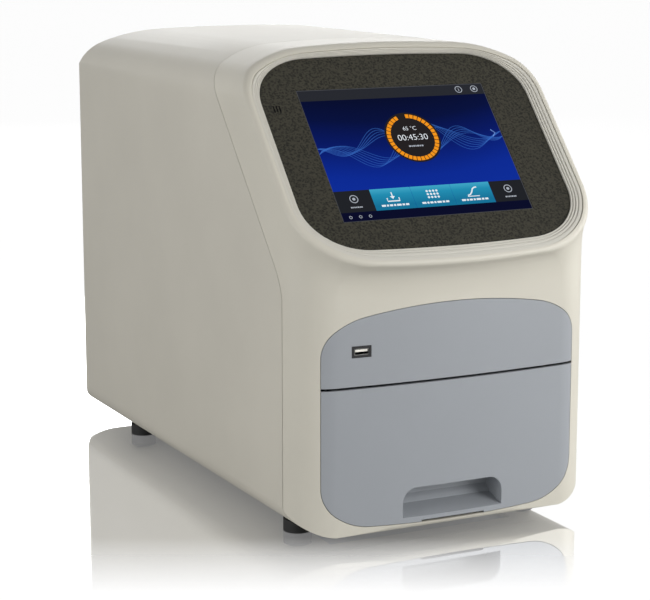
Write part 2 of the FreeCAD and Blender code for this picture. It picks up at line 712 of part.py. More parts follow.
def make_drawer_front():
    """Grey drawer front with a box frame and a finger recess moulded behind it."""
    top = PANEL_SPLIT_Z - SPLIT_GAP / 2
    skin = OUTER_TRUNK.cut(trunk(DRAWER_WALL)).common(panel_prism(0)).common(below(top))
    frame = box(-FRAME_HALF, FRAME_HALF, FRONT_Y + DRAWER_WALL / 2, FRAME_BACK_Y, FRAME_LOW, FRAME_HIGH)
    frame = frame.cut(box(-FRAME_HALF + DRAWER_WALL, FRAME_HALF - DRAWER_WALL, FRONT_Y - LAP, FRAME_BACK_Y + 1,
                          FRAME_LOW + DRAWER_WALL, FRAME_HIGH - DRAWER_WALL))
    frame = frame.common(OUTER_TRUNK).common(panel_prism(-1))
    shell = handle_recess(HANDLE_WALL, HANDLE_WALL).common(trunk(DRAWER_WALL / 2)).common(panel_prism(-0.2))
    solid = skin.multiFuse([frame, shell]).cut(handle_recess(0, 0))
    slot = box(-RELEASE_HALF, RELEASE_HALF, FRONT_Y - LAP, FRONT_Y + 2 * DRAWER_WALL, 0,
               PANEL_BOTTOM + RELEASE_HIGH)
    return solid.cut(slot).removeSplitter()


def make_drawer_tray():
    """Folded sheet tray behind the drawer front, with a front flange and open lightening slots."""
    y0, y1 = FRAME_BACK_Y, TRAY_REAR_Y
    tray = box(-TRAY_HALF, TRAY_HALF, y0, y1, TRAY_FLOOR_Z, TRAY_TOP_Z)
    tray = tray.cut(box(-TRAY_HALF + TRAY_SHEET, TRAY_HALF - TRAY_SHEET, y0 + TRAY_SHEET, y1 - TRAY_SHEET,
                        TRAY_FLOOR_Z + TRAY_SHEET, TRAY_TOP_Z + 1))
    flange = box(-FRAME_HALF + 1, FRAME_HALF - 1, y0, y0 + TRAY_SHEET, FRAME_LOW + 1, FRAME_HIGH - 1)
    tray = tray.fuse(flange)
    air = box(-BLOCK_HALF_X, BLOCK_HALF_X, y1 - 2 * TRAY_SHEET, y1 + 1, SINK_Z, SINK_TOP)
    slots = [box(x - 3, x + 3, BLOCK_Y - 60, BLOCK_Y + 60, TRAY_FLOOR_Z - 1, TRAY_FLOOR_Z + TRAY_SHEET + 1)
             for x in range(-54, 55, 18)]
    return tray.cut(air).cut(group(slots))


BLOCK_HALF_X = (WELL_COLUMNS - 1) * WELL_PITCH / 2 + WELL_TOP_R + BLOCK_MARGIN
BLOCK_HALF_Y = (WELL_ROWS - 1) * WELL_PITCH / 2 + WELL_TOP_R + BLOCK_MARGIN
SINK_HALF_X = BLOCK_HALF_X + BLOCK_FOOT + SINK_MARGIN
SINK_HALF_Y = BLOCK_HALF_Y + BLOCK_FOOT + SINK_MARGIN
SINK_Z = TRAY_FLOOR_Z + TRAY_SHEET
BLOCK_TOP = TRAY_TOP_Z + DECK_THICK + 6.0
BLOCK_LOW = BLOCK_TOP - BLOCK_HIGH
SINK_TOP = BLOCK_LOW - PELTIER_THICK


def make_heat_sink():
    """Finned aluminium sink; the fins run front to back and stand on the tray."""
    y0, y1 = BLOCK_Y - SINK_HALF_Y, BLOCK_Y + SINK_HALF_Y
    base = box(-SINK_HALF_X, SINK_HALF_X, y0, y1, SINK_TOP - SINK_BASE, SINK_TOP)
    step = (2 * SINK_HALF_X - FIN_THICK) / (SINK_FINS - 1)
    fins = [box(-SINK_HALF_X + i * step, -SINK_HALF_X + i * step + FIN_THICK, y0, y1, SINK_Z,
                SINK_TOP - SINK_BASE) for i in range(SINK_FINS)]
    return fuse(base, *fins)


def make_peltier_elements():
    pads = []
    for i in range(PELTIER_COLUMNS):
        for j in range(PELTIER_ROWS):
            x = (i - (PELTIER_COLUMNS - 1) / 2) * (PELTIER + 1)
            y = BLOCK_Y + (j - (PELTIER_ROWS - 1) / 2) * (PELTIER + 1)
            pads.append(box(x - PELTIER / 2, x + PELTIER / 2, y - PELTIER / 2, y + PELTIER / 2, SINK_TOP,
                            BLOCK_LOW))
    return group(pads)


def flat_face(points):
    return Part.Face(Part.makePolygon(points + points[:1]))


def tapered_well():
    """A well with flat-sided taper, its mouth at the origin."""
    angles = [2 * math.pi * (i + 0.5) / WELL_SIDES for i in range(WELL_SIDES)]
    low = [V(WELL_LOW_R * math.cos(a), WELL_LOW_R * math.sin(a), -WELL_DEEP) for a in angles]
    high = [V(WELL_TOP_R * math.cos(a), WELL_TOP_R * math.sin(a), 0) for a in angles]
    faces = [flat_face([low[i - 1], low[i], high[i], high[i - 1]]) for i in range(WELL_SIDES)]
    return Part.Solid(Part.Shell(faces + [flat_face(low), flat_face(high)]))


def make_sample_block():
    """Aluminium block with 96 tapered wells and a thin clamping foot."""
    block = box(-BLOCK_HALF_X, BLOCK_HALF_X, BLOCK_Y - BLOCK_HALF_Y, BLOCK_Y + BLOCK_HALF_Y, BLOCK_LOW, BLOCK_TOP)
    foot = box(-BLOCK_HALF_X - BLOCK_FOOT, BLOCK_HALF_X + BLOCK_FOOT, BLOCK_Y - BLOCK_HALF_Y - BLOCK_FOOT,
               BLOCK_Y + BLOCK_HALF_Y + BLOCK_FOOT, BLOCK_LOW, BLOCK_LOW + BLOCK_FOOT_HIGH)
    well = tapered_well()
    wells = []
    for i in range(WELL_COLUMNS):
        for j in range(WELL_ROWS):
            x = (i - (WELL_COLUMNS - 1) / 2) * WELL_PITCH
            y = BLOCK_Y + (j - (WELL_ROWS - 1) / 2) * WELL_PITCH
            wells.append(moved(well, V(x, y, BLOCK_TOP)))
    return fuse(block, foot).cut(group(wells))


def make_drawer_deck():
    """Moulded top of the drawer, with a window for the block and a thumb notch at each end of a plate."""
    half, y0, y1 = TRAY_HALF + 1.5, FRAME_BACK_Y + TRAY_SHEET, TRAY_REAR_Y
    deck = box(-half, half, y0, y1, TRAY_TOP_Z, TRAY_TOP_Z + DECK_THICK)
    frame = box(-PLATE_LENGTH / 2 - 4, PLATE_LENGTH / 2 + 4, BLOCK_Y - PLATE_WIDTH / 2 - 4,
                BLOCK_Y + PLATE_WIDTH / 2 + 4, TRAY_TOP_Z, TRAY_TOP_Z + DECK_THICK + 4)
    inside = box(-PLATE_LENGTH / 2 - 1, PLATE_LENGTH / 2 + 1, BLOCK_Y - PLATE_WIDTH / 2 - 1,
                 BLOCK_Y + PLATE_WIDTH / 2 + 1, TRAY_TOP_Z + DECK_THICK, TRAY_TOP_Z + 3 * DECK_THICK)
    window = box(-BLOCK_HALF_X - 0.5, BLOCK_HALF_X + 0.5, BLOCK_Y - BLOCK_HALF_Y - 0.5,
                 BLOCK_Y + BLOCK_HALF_Y + 0.5, TRAY_TOP_Z - 1, TRAY_TOP_Z + DECK_THICK + 1)
    notch = box(-BIG, BIG, BLOCK_Y - 12, BLOCK_Y + 12, TRAY_TOP_Z + DECK_THICK, TRAY_TOP_Z + 4 * DECK_THICK)
    slots = [box(-48, 48, y, y + 3, TRAY_TOP_Z - 1, TRAY_TOP_Z + DECK_THICK + 1) for y in range(-10, 45, 9)]
    return fuse(deck, frame).cut(inside).cut(window).cut(notch).cut(group(slots))


def rail_channel(side):
    """C-shaped rail: its back lies on the side channel, its lips hold the slide."""
    back = SIDE_HALF - SIDE_SHEET
    mouth = back - RAIL_CHANNEL
    z0, z1 = RAIL_Z - RAIL_HIGH / 2, RAIL_Z + RAIL_HIGH / 2
    rail = box(mouth, back, RAIL_FRONT_Y, RAIL_REAR_Y, z0, z1)
    rail = rail.cut(box(mouth + RAIL_SHEET, back - RAIL_SHEET, RAIL_FRONT_Y - 1, RAIL_REAR_Y + 1,
                        z0 + RAIL_SHEET, z1 - RAIL_SHEET))
    rail = rail.cut(box(mouth - 1, back - RAIL_SHEET, RAIL_FRONT_Y - 1, RAIL_REAR_Y + 1,
                        z0 + 3 * RAIL_SHEET, z1 - 3 * RAIL_SHEET))
    return rail if side > 0 else mirror_x(rail)


def slide_bar(side):
    """T-shaped slide on the tray: a web through the mouth of the rail and a head inside it."""
    back = SIDE_HALF - SIDE_SHEET
    mouth = back - RAIL_CHANNEL
    z0, z1 = RAIL_Z - RAIL_HIGH / 2, RAIL_Z + RAIL_HIGH / 2
    web = box(TRAY_HALF, back - RAIL_SHEET - RAIL_PLAY, FRAME_BACK_Y + 20, TRAY_REAR_Y,
              z0 + 3 * RAIL_SHEET + RAIL_PLAY, z1 - 3 * RAIL_SHEET - RAIL_PLAY)
    head = box(mouth + RAIL_SHEET + RAIL_PLAY, back - RAIL_SHEET - RAIL_PLAY, FRAME_BACK_Y + 20, TRAY_REAR_Y,
               z0 + RAIL_SHEET + RAIL_PLAY, z1 - RAIL_SHEET - RAIL_PLAY)
    bar = fuse(web, head)
    return bar if side > 0 else mirror_x(bar)


def make_base_plate():
    """Steel base inside the housing, with rows of air slots."""
    z0 = BOTTOM_Z + WALL
    plate = box(-BASE_HALF, BASE_HALF, BASE_FRONT_Y, BASE_REAR_Y, z0, z0 + BASE_SHEET)
    slots = []
    for i in range(BASE_SLOTS):
        for x in (-BASE_SLOT_PITCH[0], 0, BASE_SLOT_PITCH[0]):
            y = BASE_FRONT_Y + 30 + i * BASE_SLOT_PITCH[1]
            slots.append(box(x - BASE_SLOT[0] / 2, x + BASE_SLOT[0] / 2, y, y + BASE_SLOT[1], 0,
                             z0 + 2 * BASE_SHEET))
    return plate.cut(group(slots))


def side_channel(side):
    """Folded side of the chassis: a web with a foot and a top flange turned inwards."""
    z0, z1 = BOTTOM_Z + WALL + BASE_SHEET, DECK_Z
    y0, y1 = SIDE_FRONT_Y, SIDE_REAR_Y
    outer = box(SIDE_HALF - SIDE_FLANGE, SIDE_HALF, y0, y1, z0, z1)
    outer = outer.cut(box(0, SIDE_HALF - SIDE_SHEET, y0 - 1, y1 + 1, z0 + SIDE_SHEET, z1 - SIDE_SHEET))
    holes = []
    for i in range(SIDE_HOLES):
        y = y0 + SIDE_HOLE / 2 + i * (y1 - y0 - SIDE_HOLE) / SIDE_HOLES
        holes.append(box(0, BIG, y, y + SIDE_HOLE, RAIL_Z + RAIL_HIGH, RAIL_Z + RAIL_HIGH + SIDE_HOLE))
    body = outer.cut(group(holes))
    return body if side > 0 else mirror_x(body)


def make_optics_deck():
    """Sheet deck over the drawer, with the optical window and holes for the lift."""
    deck = box(-DECK_HALF, DECK_HALF, DECK_FRONT_Y, SIDE_REAR_Y, DECK_Z, DECK_Z + DECK_SHEET)
    window = box(-BLOCK_HALF_X, BLOCK_HALF_X, BLOCK_Y - BLOCK_HALF_Y, BLOCK_Y + BLOCK_HALF_Y, DECK_Z - 1,
                 DECK_Z + DECK_SHEET + 1)
    screw = rod(LIFT_SCREW_R + 1.0, V(0, BLOCK_Y + LIFT_Y, DECK_Z - 1), V(0, BLOCK_Y + LIFT_Y, DECK_Z + 4))
    return deck.cut(window).cut(screw)


PLATE_TOP = BLOCK_TOP + PLATE_OVER_BLOCK
HEATER_Z = PLATE_TOP + COVER_CLEAR + COVER_TRAVEL
CARRIER_Z = HEATER_Z + HEATER_THICK
CARRIER_TOP = CARRIER_Z + CARRIER_THICK
ROD_Y = BLOCK_HALF_Y + 14.0
ROD_LOW = CARRIER_Z - COVER_TRAVEL - 4.0


def rod_places():
    return [(sx * ROD_X, BLOCK_Y + sy * ROD_Y) for sx in (-1, 1) for sy in (-1, 1)]


def make_guide_rods():
    """Four rods under the deck, each with a shoulder against it."""
    rods = []
    for x, y in rod_places():
        pin = rod(ROD_R, V(x, y, ROD_LOW), V(x, y, DECK_Z))
        rods.append(pin.fuse(rod(2 * ROD_R, V(x, y, DECK_Z - 2), V(x, y, DECK_Z))))
    return group(rods)


def make_cover_carrier():
    """Frame that carries the heater, with a bush round each guide rod and a nut for the lift screw."""
    y0, y1 = BLOCK_Y - ROD_Y - 8, BLOCK_Y + LIFT_Y + 12
    frame = box(-CARRIER_HALF, CARRIER_HALF, y0, y1, CARRIER_Z, CARRIER_TOP)
    window = box(-BLOCK_HALF_X + 2, BLOCK_HALF_X - 2, BLOCK_Y - BLOCK_HALF_Y + 2, BLOCK_Y + BLOCK_HALF_Y - 2,
                 CARRIER_Z - 1, CARRIER_TOP + 1)
    bores = [rod(ROD_R + ROD_PLAY + BUSH_WALL, V(x, y, CARRIER_Z - 1), V(x, y, CARRIER_TOP + 1))
             for x, y in rod_places()]
    nut = rod(LIFT_SCREW_R + ROD_PLAY, V(0, BLOCK_Y + LIFT_Y, CARRIER_Z - 1), V(0, BLOCK_Y + LIFT_Y,
              CARRIER_TOP + 1))
    corners = [box(sx * BLOCK_HALF_X * 0.5 - 12, sx * BLOCK_HALF_X * 0.5 + 12, BLOCK_Y + LIFT_Y + 1, y1 + 1,
                   CARRIER_Z - 1, CARRIER_TOP + 1) for sx in (-1, 1)]
    return frame.cut(window).cut(group(bores)).cut(nut).cut(group(corners))


def make_cover_bushes():
    return group([tube(ROD_R + ROD_PLAY + BUSH_WALL, ROD_R + ROD_PLAY, V(x, y, CARRIER_Z), V(x, y, CARRIER_TOP))
                  for x, y in rod_places()])


def make_heater_plate():
    """Heated plate above the samples; light passes through a hole over each well."""
    plate = box(-PLATE_LENGTH / 2, PLATE_LENGTH / 2, BLOCK_Y - PLATE_WIDTH / 2, BLOCK_Y + PLATE_WIDTH / 2,
                HEATER_Z, CARRIER_Z)
    rows = []
    for j in range(WELL_ROWS):
        y = BLOCK_Y + (j - (WELL_ROWS - 1) / 2) * WELL_PITCH
        rows.append(box(-BLOCK_HALF_X + 5, BLOCK_HALF_X - 5, y - WELL_TOP_R, y + WELL_TOP_R, HEATER_Z - 1,
                        CARRIER_Z + 1))
    return plate.cut(group(rows))


def make_lift_screw():
    """Fast-lead screw that lowers the heated cover."""
    y = BLOCK_Y + LIFT_Y
    screw = rod(LIFT_SCREW_R, V(0, y, CARRIER_Z - COVER_TRAVEL - 3), V(0, y, DECK_Z + DECK_SHEET))
    return screw.cut(rod(SHAFT_R + SHAFT_PLAY, V(0, y, DECK_Z - 12), V(0, y, DECK_Z + 3 * DECK_SHEET)))


def make_lift_motor():
    y = BLOCK_Y + LIFT_Y
    z0 = DECK_Z + DECK_SHEET
    half = LIFT_MOTOR / 2
    body = box(-half, half, y - half, y + half, z0, z0 + LIFT_MOTOR_HIGH)
    body = body.makeChamfer(3.0, [e for e in body.Edges if abs(e.tangentAt(0).z) > 0.9])
    shaft = rod(SHAFT_R, V(0, y, DECK_Z - 11), V(0, y, z0 + 2))
    return body.fuse(shaft)


SHROUD_Y = BLOCK_Y - SHROUD_DEPTH / 2
SHROUD_REAR = BLOCK_Y + SHROUD_DEPTH / 2 - 12.0
SHROUD_Z = DECK_Z + DECK_SHEET
AXIS_Z = SHROUD_Z + OPTIC_Z
SHROUD_TOP = SHROUD_Z + SHROUD_HIGH
WHEEL_Y = BLOCK_Y + LIFT_Y + LIFT_MOTOR / 2 + 8.0


def make_optics_shroud():
    """Light-tight box over the block, open below, with a mouth towards the camera and one for the lamp."""
    w = SHROUD_WALL
    profile = [V(0, SHROUD_Y, SHROUD_Z), V(0, SHROUD_REAR, SHROUD_Z), V(0, SHROUD_REAR, SHROUD_TOP),
               V(0, SHROUD_Y + 40, SHROUD_TOP), V(0, SHROUD_Y, SHROUD_TOP - 40)]
    inner = [V(0, SHROUD_Y + w, SHROUD_Z - 1), V(0, SHROUD_REAR - w, SHROUD_Z - 1),
             V(0, SHROUD_REAR - w, SHROUD_TOP - w), V(0, SHROUD_Y + 40 + w / 2, SHROUD_TOP - w),
             V(0, SHROUD_Y + w, SHROUD_TOP - 40 - w / 2)]
    outer = prism(Part.makePolygon(profile + profile[:1]), X * (2 * SHROUD_HALF))
    outer.translate(V(-SHROUD_HALF, 0, 0))
    hollow = prism(Part.makePolygon(inner + inner[:1]), X * (2 * (SHROUD_HALF - w)))
    hollow.translate(V(-SHROUD_HALF + w, 0, 0))
    mouth = rod(FILTER_R + 6, V(0, SHROUD_REAR - 2 * w, AXIS_Z), V(0, SHROUD_REAR + w, AXIS_Z))
    lamp = rod(FILTER_R, V(-SHROUD_HALF - w, BLOCK_Y - 12, SHROUD_Z + LAMP_HIGH / 2),
               V(-SHROUD_HALF + 2 * w, BLOCK_Y - 12, SHROUD_Z + LAMP_HIGH / 2))
    foot = box(-SHROUD_HALF - 8, SHROUD_HALF + 8, SHROUD_Y, SHROUD_REAR, SHROUD_Z, SHROUD_Z + 2)
    return outer.fuse(foot).cut(hollow).cut(mouth).cut(lamp)


def make_field_lens():
    """Lens plate in the foot of the shroud, over the window of the deck."""
    half_x, half_y = SHROUD_HALF - SHROUD_WALL, SHROUD_DEPTH / 2 - 12
    return box(-half_x + SEAT_GAP, half_x - SEAT_GAP, BLOCK_Y - half_y, SHROUD_REAR - SHROUD_WALL - SEAT_GAP,
               SHROUD_Z, SHROUD_Z + LENS_THICK)


def make_fold_mirror():
    """Mirror at 45 degrees that turns the light from the block towards the camera."""
    z0 = SHROUD_Z + LENS_THICK + 4
    reach = SHROUD_TOP - SHROUD_WALL - z0 - 4
    y0 = SHROUD_REAR - SHROUD_WALL - 6 - reach
    t = MIRROR_THICK / math.sqrt(2)
    points = [V(0, y0, z0), V(0, y0 + reach, z0 + reach), V(0, y0 + reach - t, z0 + reach + t),
              V(0, y0 - t, z0 + t)]
    plate = prism(Part.makePolygon(points + points[:1]), X * (2 * (SHROUD_HALF - SHROUD_WALL)))
    plate.translate(V(-SHROUD_HALF + SHROUD_WALL, 0, 0))
    return plate.common(inner_shroud())


def inner_shroud():
    w = SHROUD_WALL
    inner = [V(0, SHROUD_Y + w, SHROUD_Z), V(0, SHROUD_REAR - w, SHROUD_Z),
             V(0, SHROUD_REAR - w, SHROUD_TOP - w), V(0, SHROUD_Y + 40 + w / 2, SHROUD_TOP - w),
             V(0, SHROUD_Y + w, SHROUD_TOP - 40 - w / 2)]
    solid = prism(Part.makePolygon(inner + inner[:1]), X * (2 * (SHROUD_HALF - w)))
    solid.translate(V(-SHROUD_HALF + w, 0, 0))
    return solid


def filter_places():
    radius = WHEEL_X
    return [(WHEEL_X - radius * math.cos(2 * math.pi * i / FILTER_COUNT),
             AXIS_Z + radius * math.sin(2 * math.pi * i / FILTER_COUNT)) for i in range(FILTER_COUNT)]


def make_filter_wheel():
    y0, y1 = WHEEL_Y, WHEEL_Y + WHEEL_THICK
    disc = rod(WHEEL_R, V(WHEEL_X, y0, AXIS_Z), V(WHEEL_X, y1, AXIS_Z))
    hub = rod(WHEEL_HUB_R, V(WHEEL_X, y0 - 2, AXIS_Z), V(WHEEL_X, y1 + 2, AXIS_Z))
    bore = rod(SHAFT_R + SHAFT_PLAY, V(WHEEL_X, y0 - 5, AXIS_Z), V(WHEEL_X, y1 + 5, AXIS_Z))
    holes = [rod(FILTER_R, V(x, y0 - 1, z), V(x, y1 + 1, z)) for x, z in filter_places()]
    return disc.fuse(hub).cut(bore).cut(group(holes))


def make_emission_filters():
    y = WHEEL_Y + (WHEEL_THICK - FILTER_THICK) / 2
    return group([rod(FILTER_R, V(x, y, z), V(x, y + FILTER_THICK, z)) for x, z in filter_places()])


BRACKET_Y = WHEEL_Y + WHEEL_THICK + 2 + WHEEL_GAP


def make_wheel_bracket():
    """Upright plate behind the filter wheel that holds the wheel motor and the camera lens."""
    z1 = AXIS_Z + LENS_R + 8
    plate = box(-LENS_R - 10, WHEEL_X + WHEEL_MOTOR_R + 10, BRACKET_Y, BRACKET_Y + 3, SHROUD_Z, z1)
    foot = box(-LENS_R - 10, WHEEL_X + WHEEL_MOTOR_R + 10, BRACKET_Y, BRACKET_Y + 16, SHROUD_Z, SHROUD_Z + 3)
    hole = rod(LENS_R + SEAT_GAP / 2, V(0, BRACKET_Y - 5, AXIS_Z), V(0, BRACKET_Y + 10, AXIS_Z))
    shaft = rod(SHAFT_R + 1, V(WHEEL_X, BRACKET_Y - 5, AXIS_Z), V(WHEEL_X, BRACKET_Y + 10, AXIS_Z))
    return plate.fuse(foot).cut(hole).cut(shaft)


def make_wheel_motor():
    y = BRACKET_Y + 3
    body = rod(WHEEL_MOTOR_R, V(WHEEL_X, y, AXIS_Z), V(WHEEL_X, y + WHEEL_MOTOR_LONG, AXIS_Z))
    shaft = rod(SHAFT_R, V(WHEEL_X, WHEEL_Y - 1, AXIS_Z), V(WHEEL_X, y + 1, AXIS_Z))
    return body.fuse(shaft)


def make_camera_lens():
    front = BRACKET_Y - 1.5
    barrel = rod(LENS_R, V(0, front, AXIS_Z), V(0, front + LENS_LONG, AXIS_Z))
    ring = tube(LENS_R + 2, LENS_R - 1, V(0, BRACKET_Y + 3, AXIS_Z), V(0, BRACKET_Y + 11, AXIS_Z))
    mouth = Part.makeCone(LENS_R - 2, LENS_R - 7, 8, V(0, front, AXIS_Z), Y)
    return barrel.fuse(ring).cut(mouth)


def make_camera():
    """Imaging camera on a saddle that stands on the deck."""
    y0 = BRACKET_Y - 1.5 + LENS_LONG
    body = box(-CAMERA_HALF, CAMERA_HALF, y0, y0 + CAMERA_LONG, AXIS_Z - CAMERA_HALF, AXIS_Z + CAMERA_HALF)
    fins = [box(-CAMERA_HALF - 1, CAMERA_HALF + 1, y0 + 8 + i * 7, y0 + 11 + i * 7, AXIS_Z + CAMERA_HALF - 3,
                AXIS_Z + CAMERA_HALF + 1) for i in range(5)]
    saddle = box(-CAMERA_HALF + 6, CAMERA_HALF - 6, y0 + 6, y0 + CAMERA_LONG - 6, SHROUD_Z, AXIS_Z - CAMERA_HALF)
    foot = box(-CAMERA_HALF - 6, CAMERA_HALF + 6, y0 + 6, y0 + CAMERA_LONG - 6, SHROUD_Z, SHROUD_Z + 3)
    return body.cut(group(fins)).fuse(saddle).fuse(foot)


def make_lamp_module():
    """Excitation lamp beside the shroud, with a finned back."""
    x1 = -SHROUD_HALF
    x0 = x1 - LAMP_DEEP
    y0, y1 = BLOCK_Y - 12 - LAMP_LONG / 2, BLOCK_Y - 12 + LAMP_LONG / 2
    body = box(x0, x1, y0, y1, SHROUD_Z + 2, SHROUD_Z + LAMP_HIGH)
    pitch = LAMP_HIGH / (LAMP_FINS + 1)
    gaps = [box(x0 - 1, x0 + 11, y0 - 1, y1 + 1, SHROUD_Z + 4 + i * pitch, SHROUD_Z + 7 + i * pitch)
            for i in range(LAMP_FINS)]
    return body.cut(group(gaps))


PANEL_Y = REAR_Y - WALL - REAR_SHEET


def rear_hole(x, z, size, grow):
    return box(x - size[0] / 2 - grow, x + size[0] / 2 + grow, PANEL_Y - 1, REAR_Y + 1, z - size[1] / 2 - grow,
               z + size[1] / 2 + grow)


def make_rear_panel():
    """Sheet panel inside the rear window, with a fan guard, vents and openings for the sockets."""
    panel = box(-REAR_OPEN_HALF - REAR_LAP, REAR_OPEN_HALF + REAR_LAP, PANEL_Y, REAR_Y - WALL,
                REAR_OPEN_LOW - REAR_LAP, REAR_OPEN_HIGH + REAR_LAP)
    slots = []
    reach = FAN / 2 - FAN_WALL - 2
    for i in range(GUARD_SLOTS):
        x = (i - (GUARD_SLOTS - 1) / 2) * GUARD_PITCH
        half = math.sqrt(reach ** 2 - x ** 2)
        for z0, z1 in ((-half, -3), (3, half)):
            slots.append(box(FAN_X + x - GUARD_SLOT / 2, FAN_X + x + GUARD_SLOT / 2, PANEL_Y - 1, REAR_Y,
                             FAN_Z + z0, FAN_Z + z1))
    for i in range(VENT_SLOTS):
        x = VENT_X + i * GUARD_PITCH
        slots.append(box(x - GUARD_SLOT / 2, x + GUARD_SLOT / 2, PANEL_Y - 1, REAR_Y, VENT_LOW, VENT_HIGH))
    holes = [rear_hole(INLET_X, INLET_Z, INLET_BODY, 0.2), rear_hole(ROCKER_X, INLET_Z, ROCKER_BODY, 0.2)]
    holes += [rear_hole(PORT_X + i * PORT_PITCH, PORT_Z, USB_OUT, 0.2) for i in range(2)]
    holes.append(rear_hole(PORT_X + 2 * PORT_PITCH + 2, PORT_Z, NET_OUT, 0.2))
    return panel.cut(group(slots)).cut(group(holes))


ROCKER_BODY = (ROCKER_SIZE[0] + 3.0, ROCKER_SIZE[1] + 3.0)


def make_mains_inlet():
    """Three-pin mains inlet with its flange outside the panel."""
    y0 = REAR_Y - WALL
    flange = box(INLET_X - INLET_FLANGE[0] / 2, INLET_X + INLET_FLANGE[0] / 2, y0, y0 + 2.5,
                 INLET_Z - INLET_FLANGE[1] / 2, INLET_Z + INLET_FLANGE[1] / 2)
    body = box(INLET_X - INLET_BODY[0] / 2, INLET_X + INLET_BODY[0] / 2, y0 - INLET_DEEP - 4, y0,
               INLET_Z - INLET_BODY[1] / 2, INLET_Z + INLET_BODY[1] / 2)
    mouth = box(INLET_X - INLET_MOUTH[0] / 2, INLET_X + INLET_MOUTH[0] / 2, y0 - INLET_DEEP, y0 + 5,
                INLET_Z - INLET_MOUTH[1] / 2, INLET_Z + INLET_MOUTH[1] / 2)
    mouth = mouth.makeChamfer(5.0, [e for e in mouth.Edges if abs(e.tangentAt(0).y) > 0.9
                                    and e.CenterOfMass.z > INLET_Z])
    return flange.fuse(body).cut(mouth)


def make_inlet_pins():
    y0 = REAR_Y - WALL - INLET_DEEP
    pins = []
    for x, z in ((-7.0, -2.0), (0.0, 2.0), (7.0, -2.0)):
        pins.append(box(INLET_X + x - 1.0, INLET_X + x + 1.0, y0, y0 + INLET_DEEP - 3, INLET_Z + z - 2.0,
                        INLET_Z + z + 2.0))
    return group(pins)


def make_switch_frame():
    y0 = REAR_Y - WALL
    flange = box(ROCKER_X - ROCKER_FRAME[0] / 2, ROCKER_X + ROCKER_FRAME[0] / 2, y0, y0 + 1.6,
                 INLET_Z - ROCKER_FRAME[1] / 2, INLET_Z + ROCKER_FRAME[1] / 2)
    body = box(ROCKER_X - ROCKER_BODY[0] / 2, ROCKER_X + ROCKER_BODY[0] / 2, y0 - 16, y0,
               INLET_Z - ROCKER_BODY[1] / 2, INLET_Z + ROCKER_BODY[1] / 2)
    mouth = box(ROCKER_X - ROCKER_SIZE[0] / 2, ROCKER_X + ROCKER_SIZE[0] / 2, y0 - 12, y0 + 5,
                INLET_Z - ROCKER_SIZE[1] / 2, INLET_Z + ROCKER_SIZE[1] / 2)
    pin = rod(ROCKER_PIN_R, V(ROCKER_X - ROCKER_BODY[0] / 2 + 0.5, y0 - 2, INLET_Z),
              V(ROCKER_X + ROCKER_BODY[0] / 2 - 0.5, y0 - 2, INLET_Z))
    return flange.fuse(body).cut(mouth).fuse(pin)


def make_power_rocker():
    """Rocker with two shallow faces, on a pin across the frame."""
    y0 = REAR_Y - WALL - 2
    half_x = ROCKER_SIZE[0] / 2 - SEAT_GAP
    half_z = ROCKER_SIZE[1] / 2 - 4 * SEAT_GAP
    points = [V(0, y0 - 4, -half_z + 1), V(0, y0 - 4, half_z - 1), V(0, y0 + 3, half_z), V(0, y0 + 5, half_z),
              V(0, y0 + 3.6, 0), V(0, y0 + 5, -half_z), V(0, y0 + 3, -half_z)]
    wedge = prism(Part.makePolygon(points + points[:1]), X * (2 * half_x))
    wedge.translate(V(ROCKER_X - half_x, 0, INLET_Z))
    wedge = turned(wedge, V(ROCKER_X, y0, INLET_Z), X, -ROCKER_DEG)
    bore = rod(ROCKER_PIN_R + SHAFT_PLAY, V(ROCKER_X - half_x - 1, y0, INLET_Z),
               V(ROCKER_X + half_x + 1, y0, INLET_Z))
    return wedge.cut(bore)


def port(x, z, outer, inner):
    y1 = REAR_Y - WALL + 0.8
    body = box(x - outer[0] / 2, x + outer[0] / 2, y1 - PORT_DEEP, y1, z - outer[1] / 2, z + outer[1] / 2)
    return body.cut(box(x - inner[0] / 2, x + inner[0] / 2, y1 - PORT_DEEP + 2, y1 + 1, z - inner[1] / 2,
                        z + inner[1] / 2))


def make_rear_usb_sockets():
    sockets = []
    for i in range(2):
        x = PORT_X + i * PORT_PITCH
        tongue = box(x - USB_IN[0] / 2 + 0.8, x + USB_IN[0] / 2 - 0.8, REAR_Y - WALL - PORT_DEEP + 2,
                     REAR_Y - WALL - 2, PORT_Z + 0.2, PORT_Z + 1.8)
        sockets.append(port(x, PORT_Z, USB_OUT, USB_IN).fuse(tongue))
    return group(sockets)


def make_network_socket():
    return port(PORT_X + 2 * PORT_PITCH + 2, PORT_Z, NET_OUT, NET_IN)


def make_port_board():
    """Small board behind the rear sockets, held by two posts on the rear panel."""
    y1 = REAR_Y - WALL + 0.8 - PORT_DEEP
    x0, x1 = PORT_X - 16, PORT_X + 2 * PORT_PITCH + 16
    board = box(x0, x1, y1 - BOARD_THICK, y1, PORT_Z - 20, PORT_Z + 20)
    posts = [rod(2.5, V(x, y1, PORT_Z + 15), V(x, PANEL_Y, PORT_Z + 15)) for x in (x0 + 5, x1 - 5)]
    chip = box(x0 + 20, x0 + 34, y1 - BOARD_THICK - 2, y1 - BOARD_THICK, PORT_Z - 8, PORT_Z + 6)
    return fuse(board, chip, *posts)


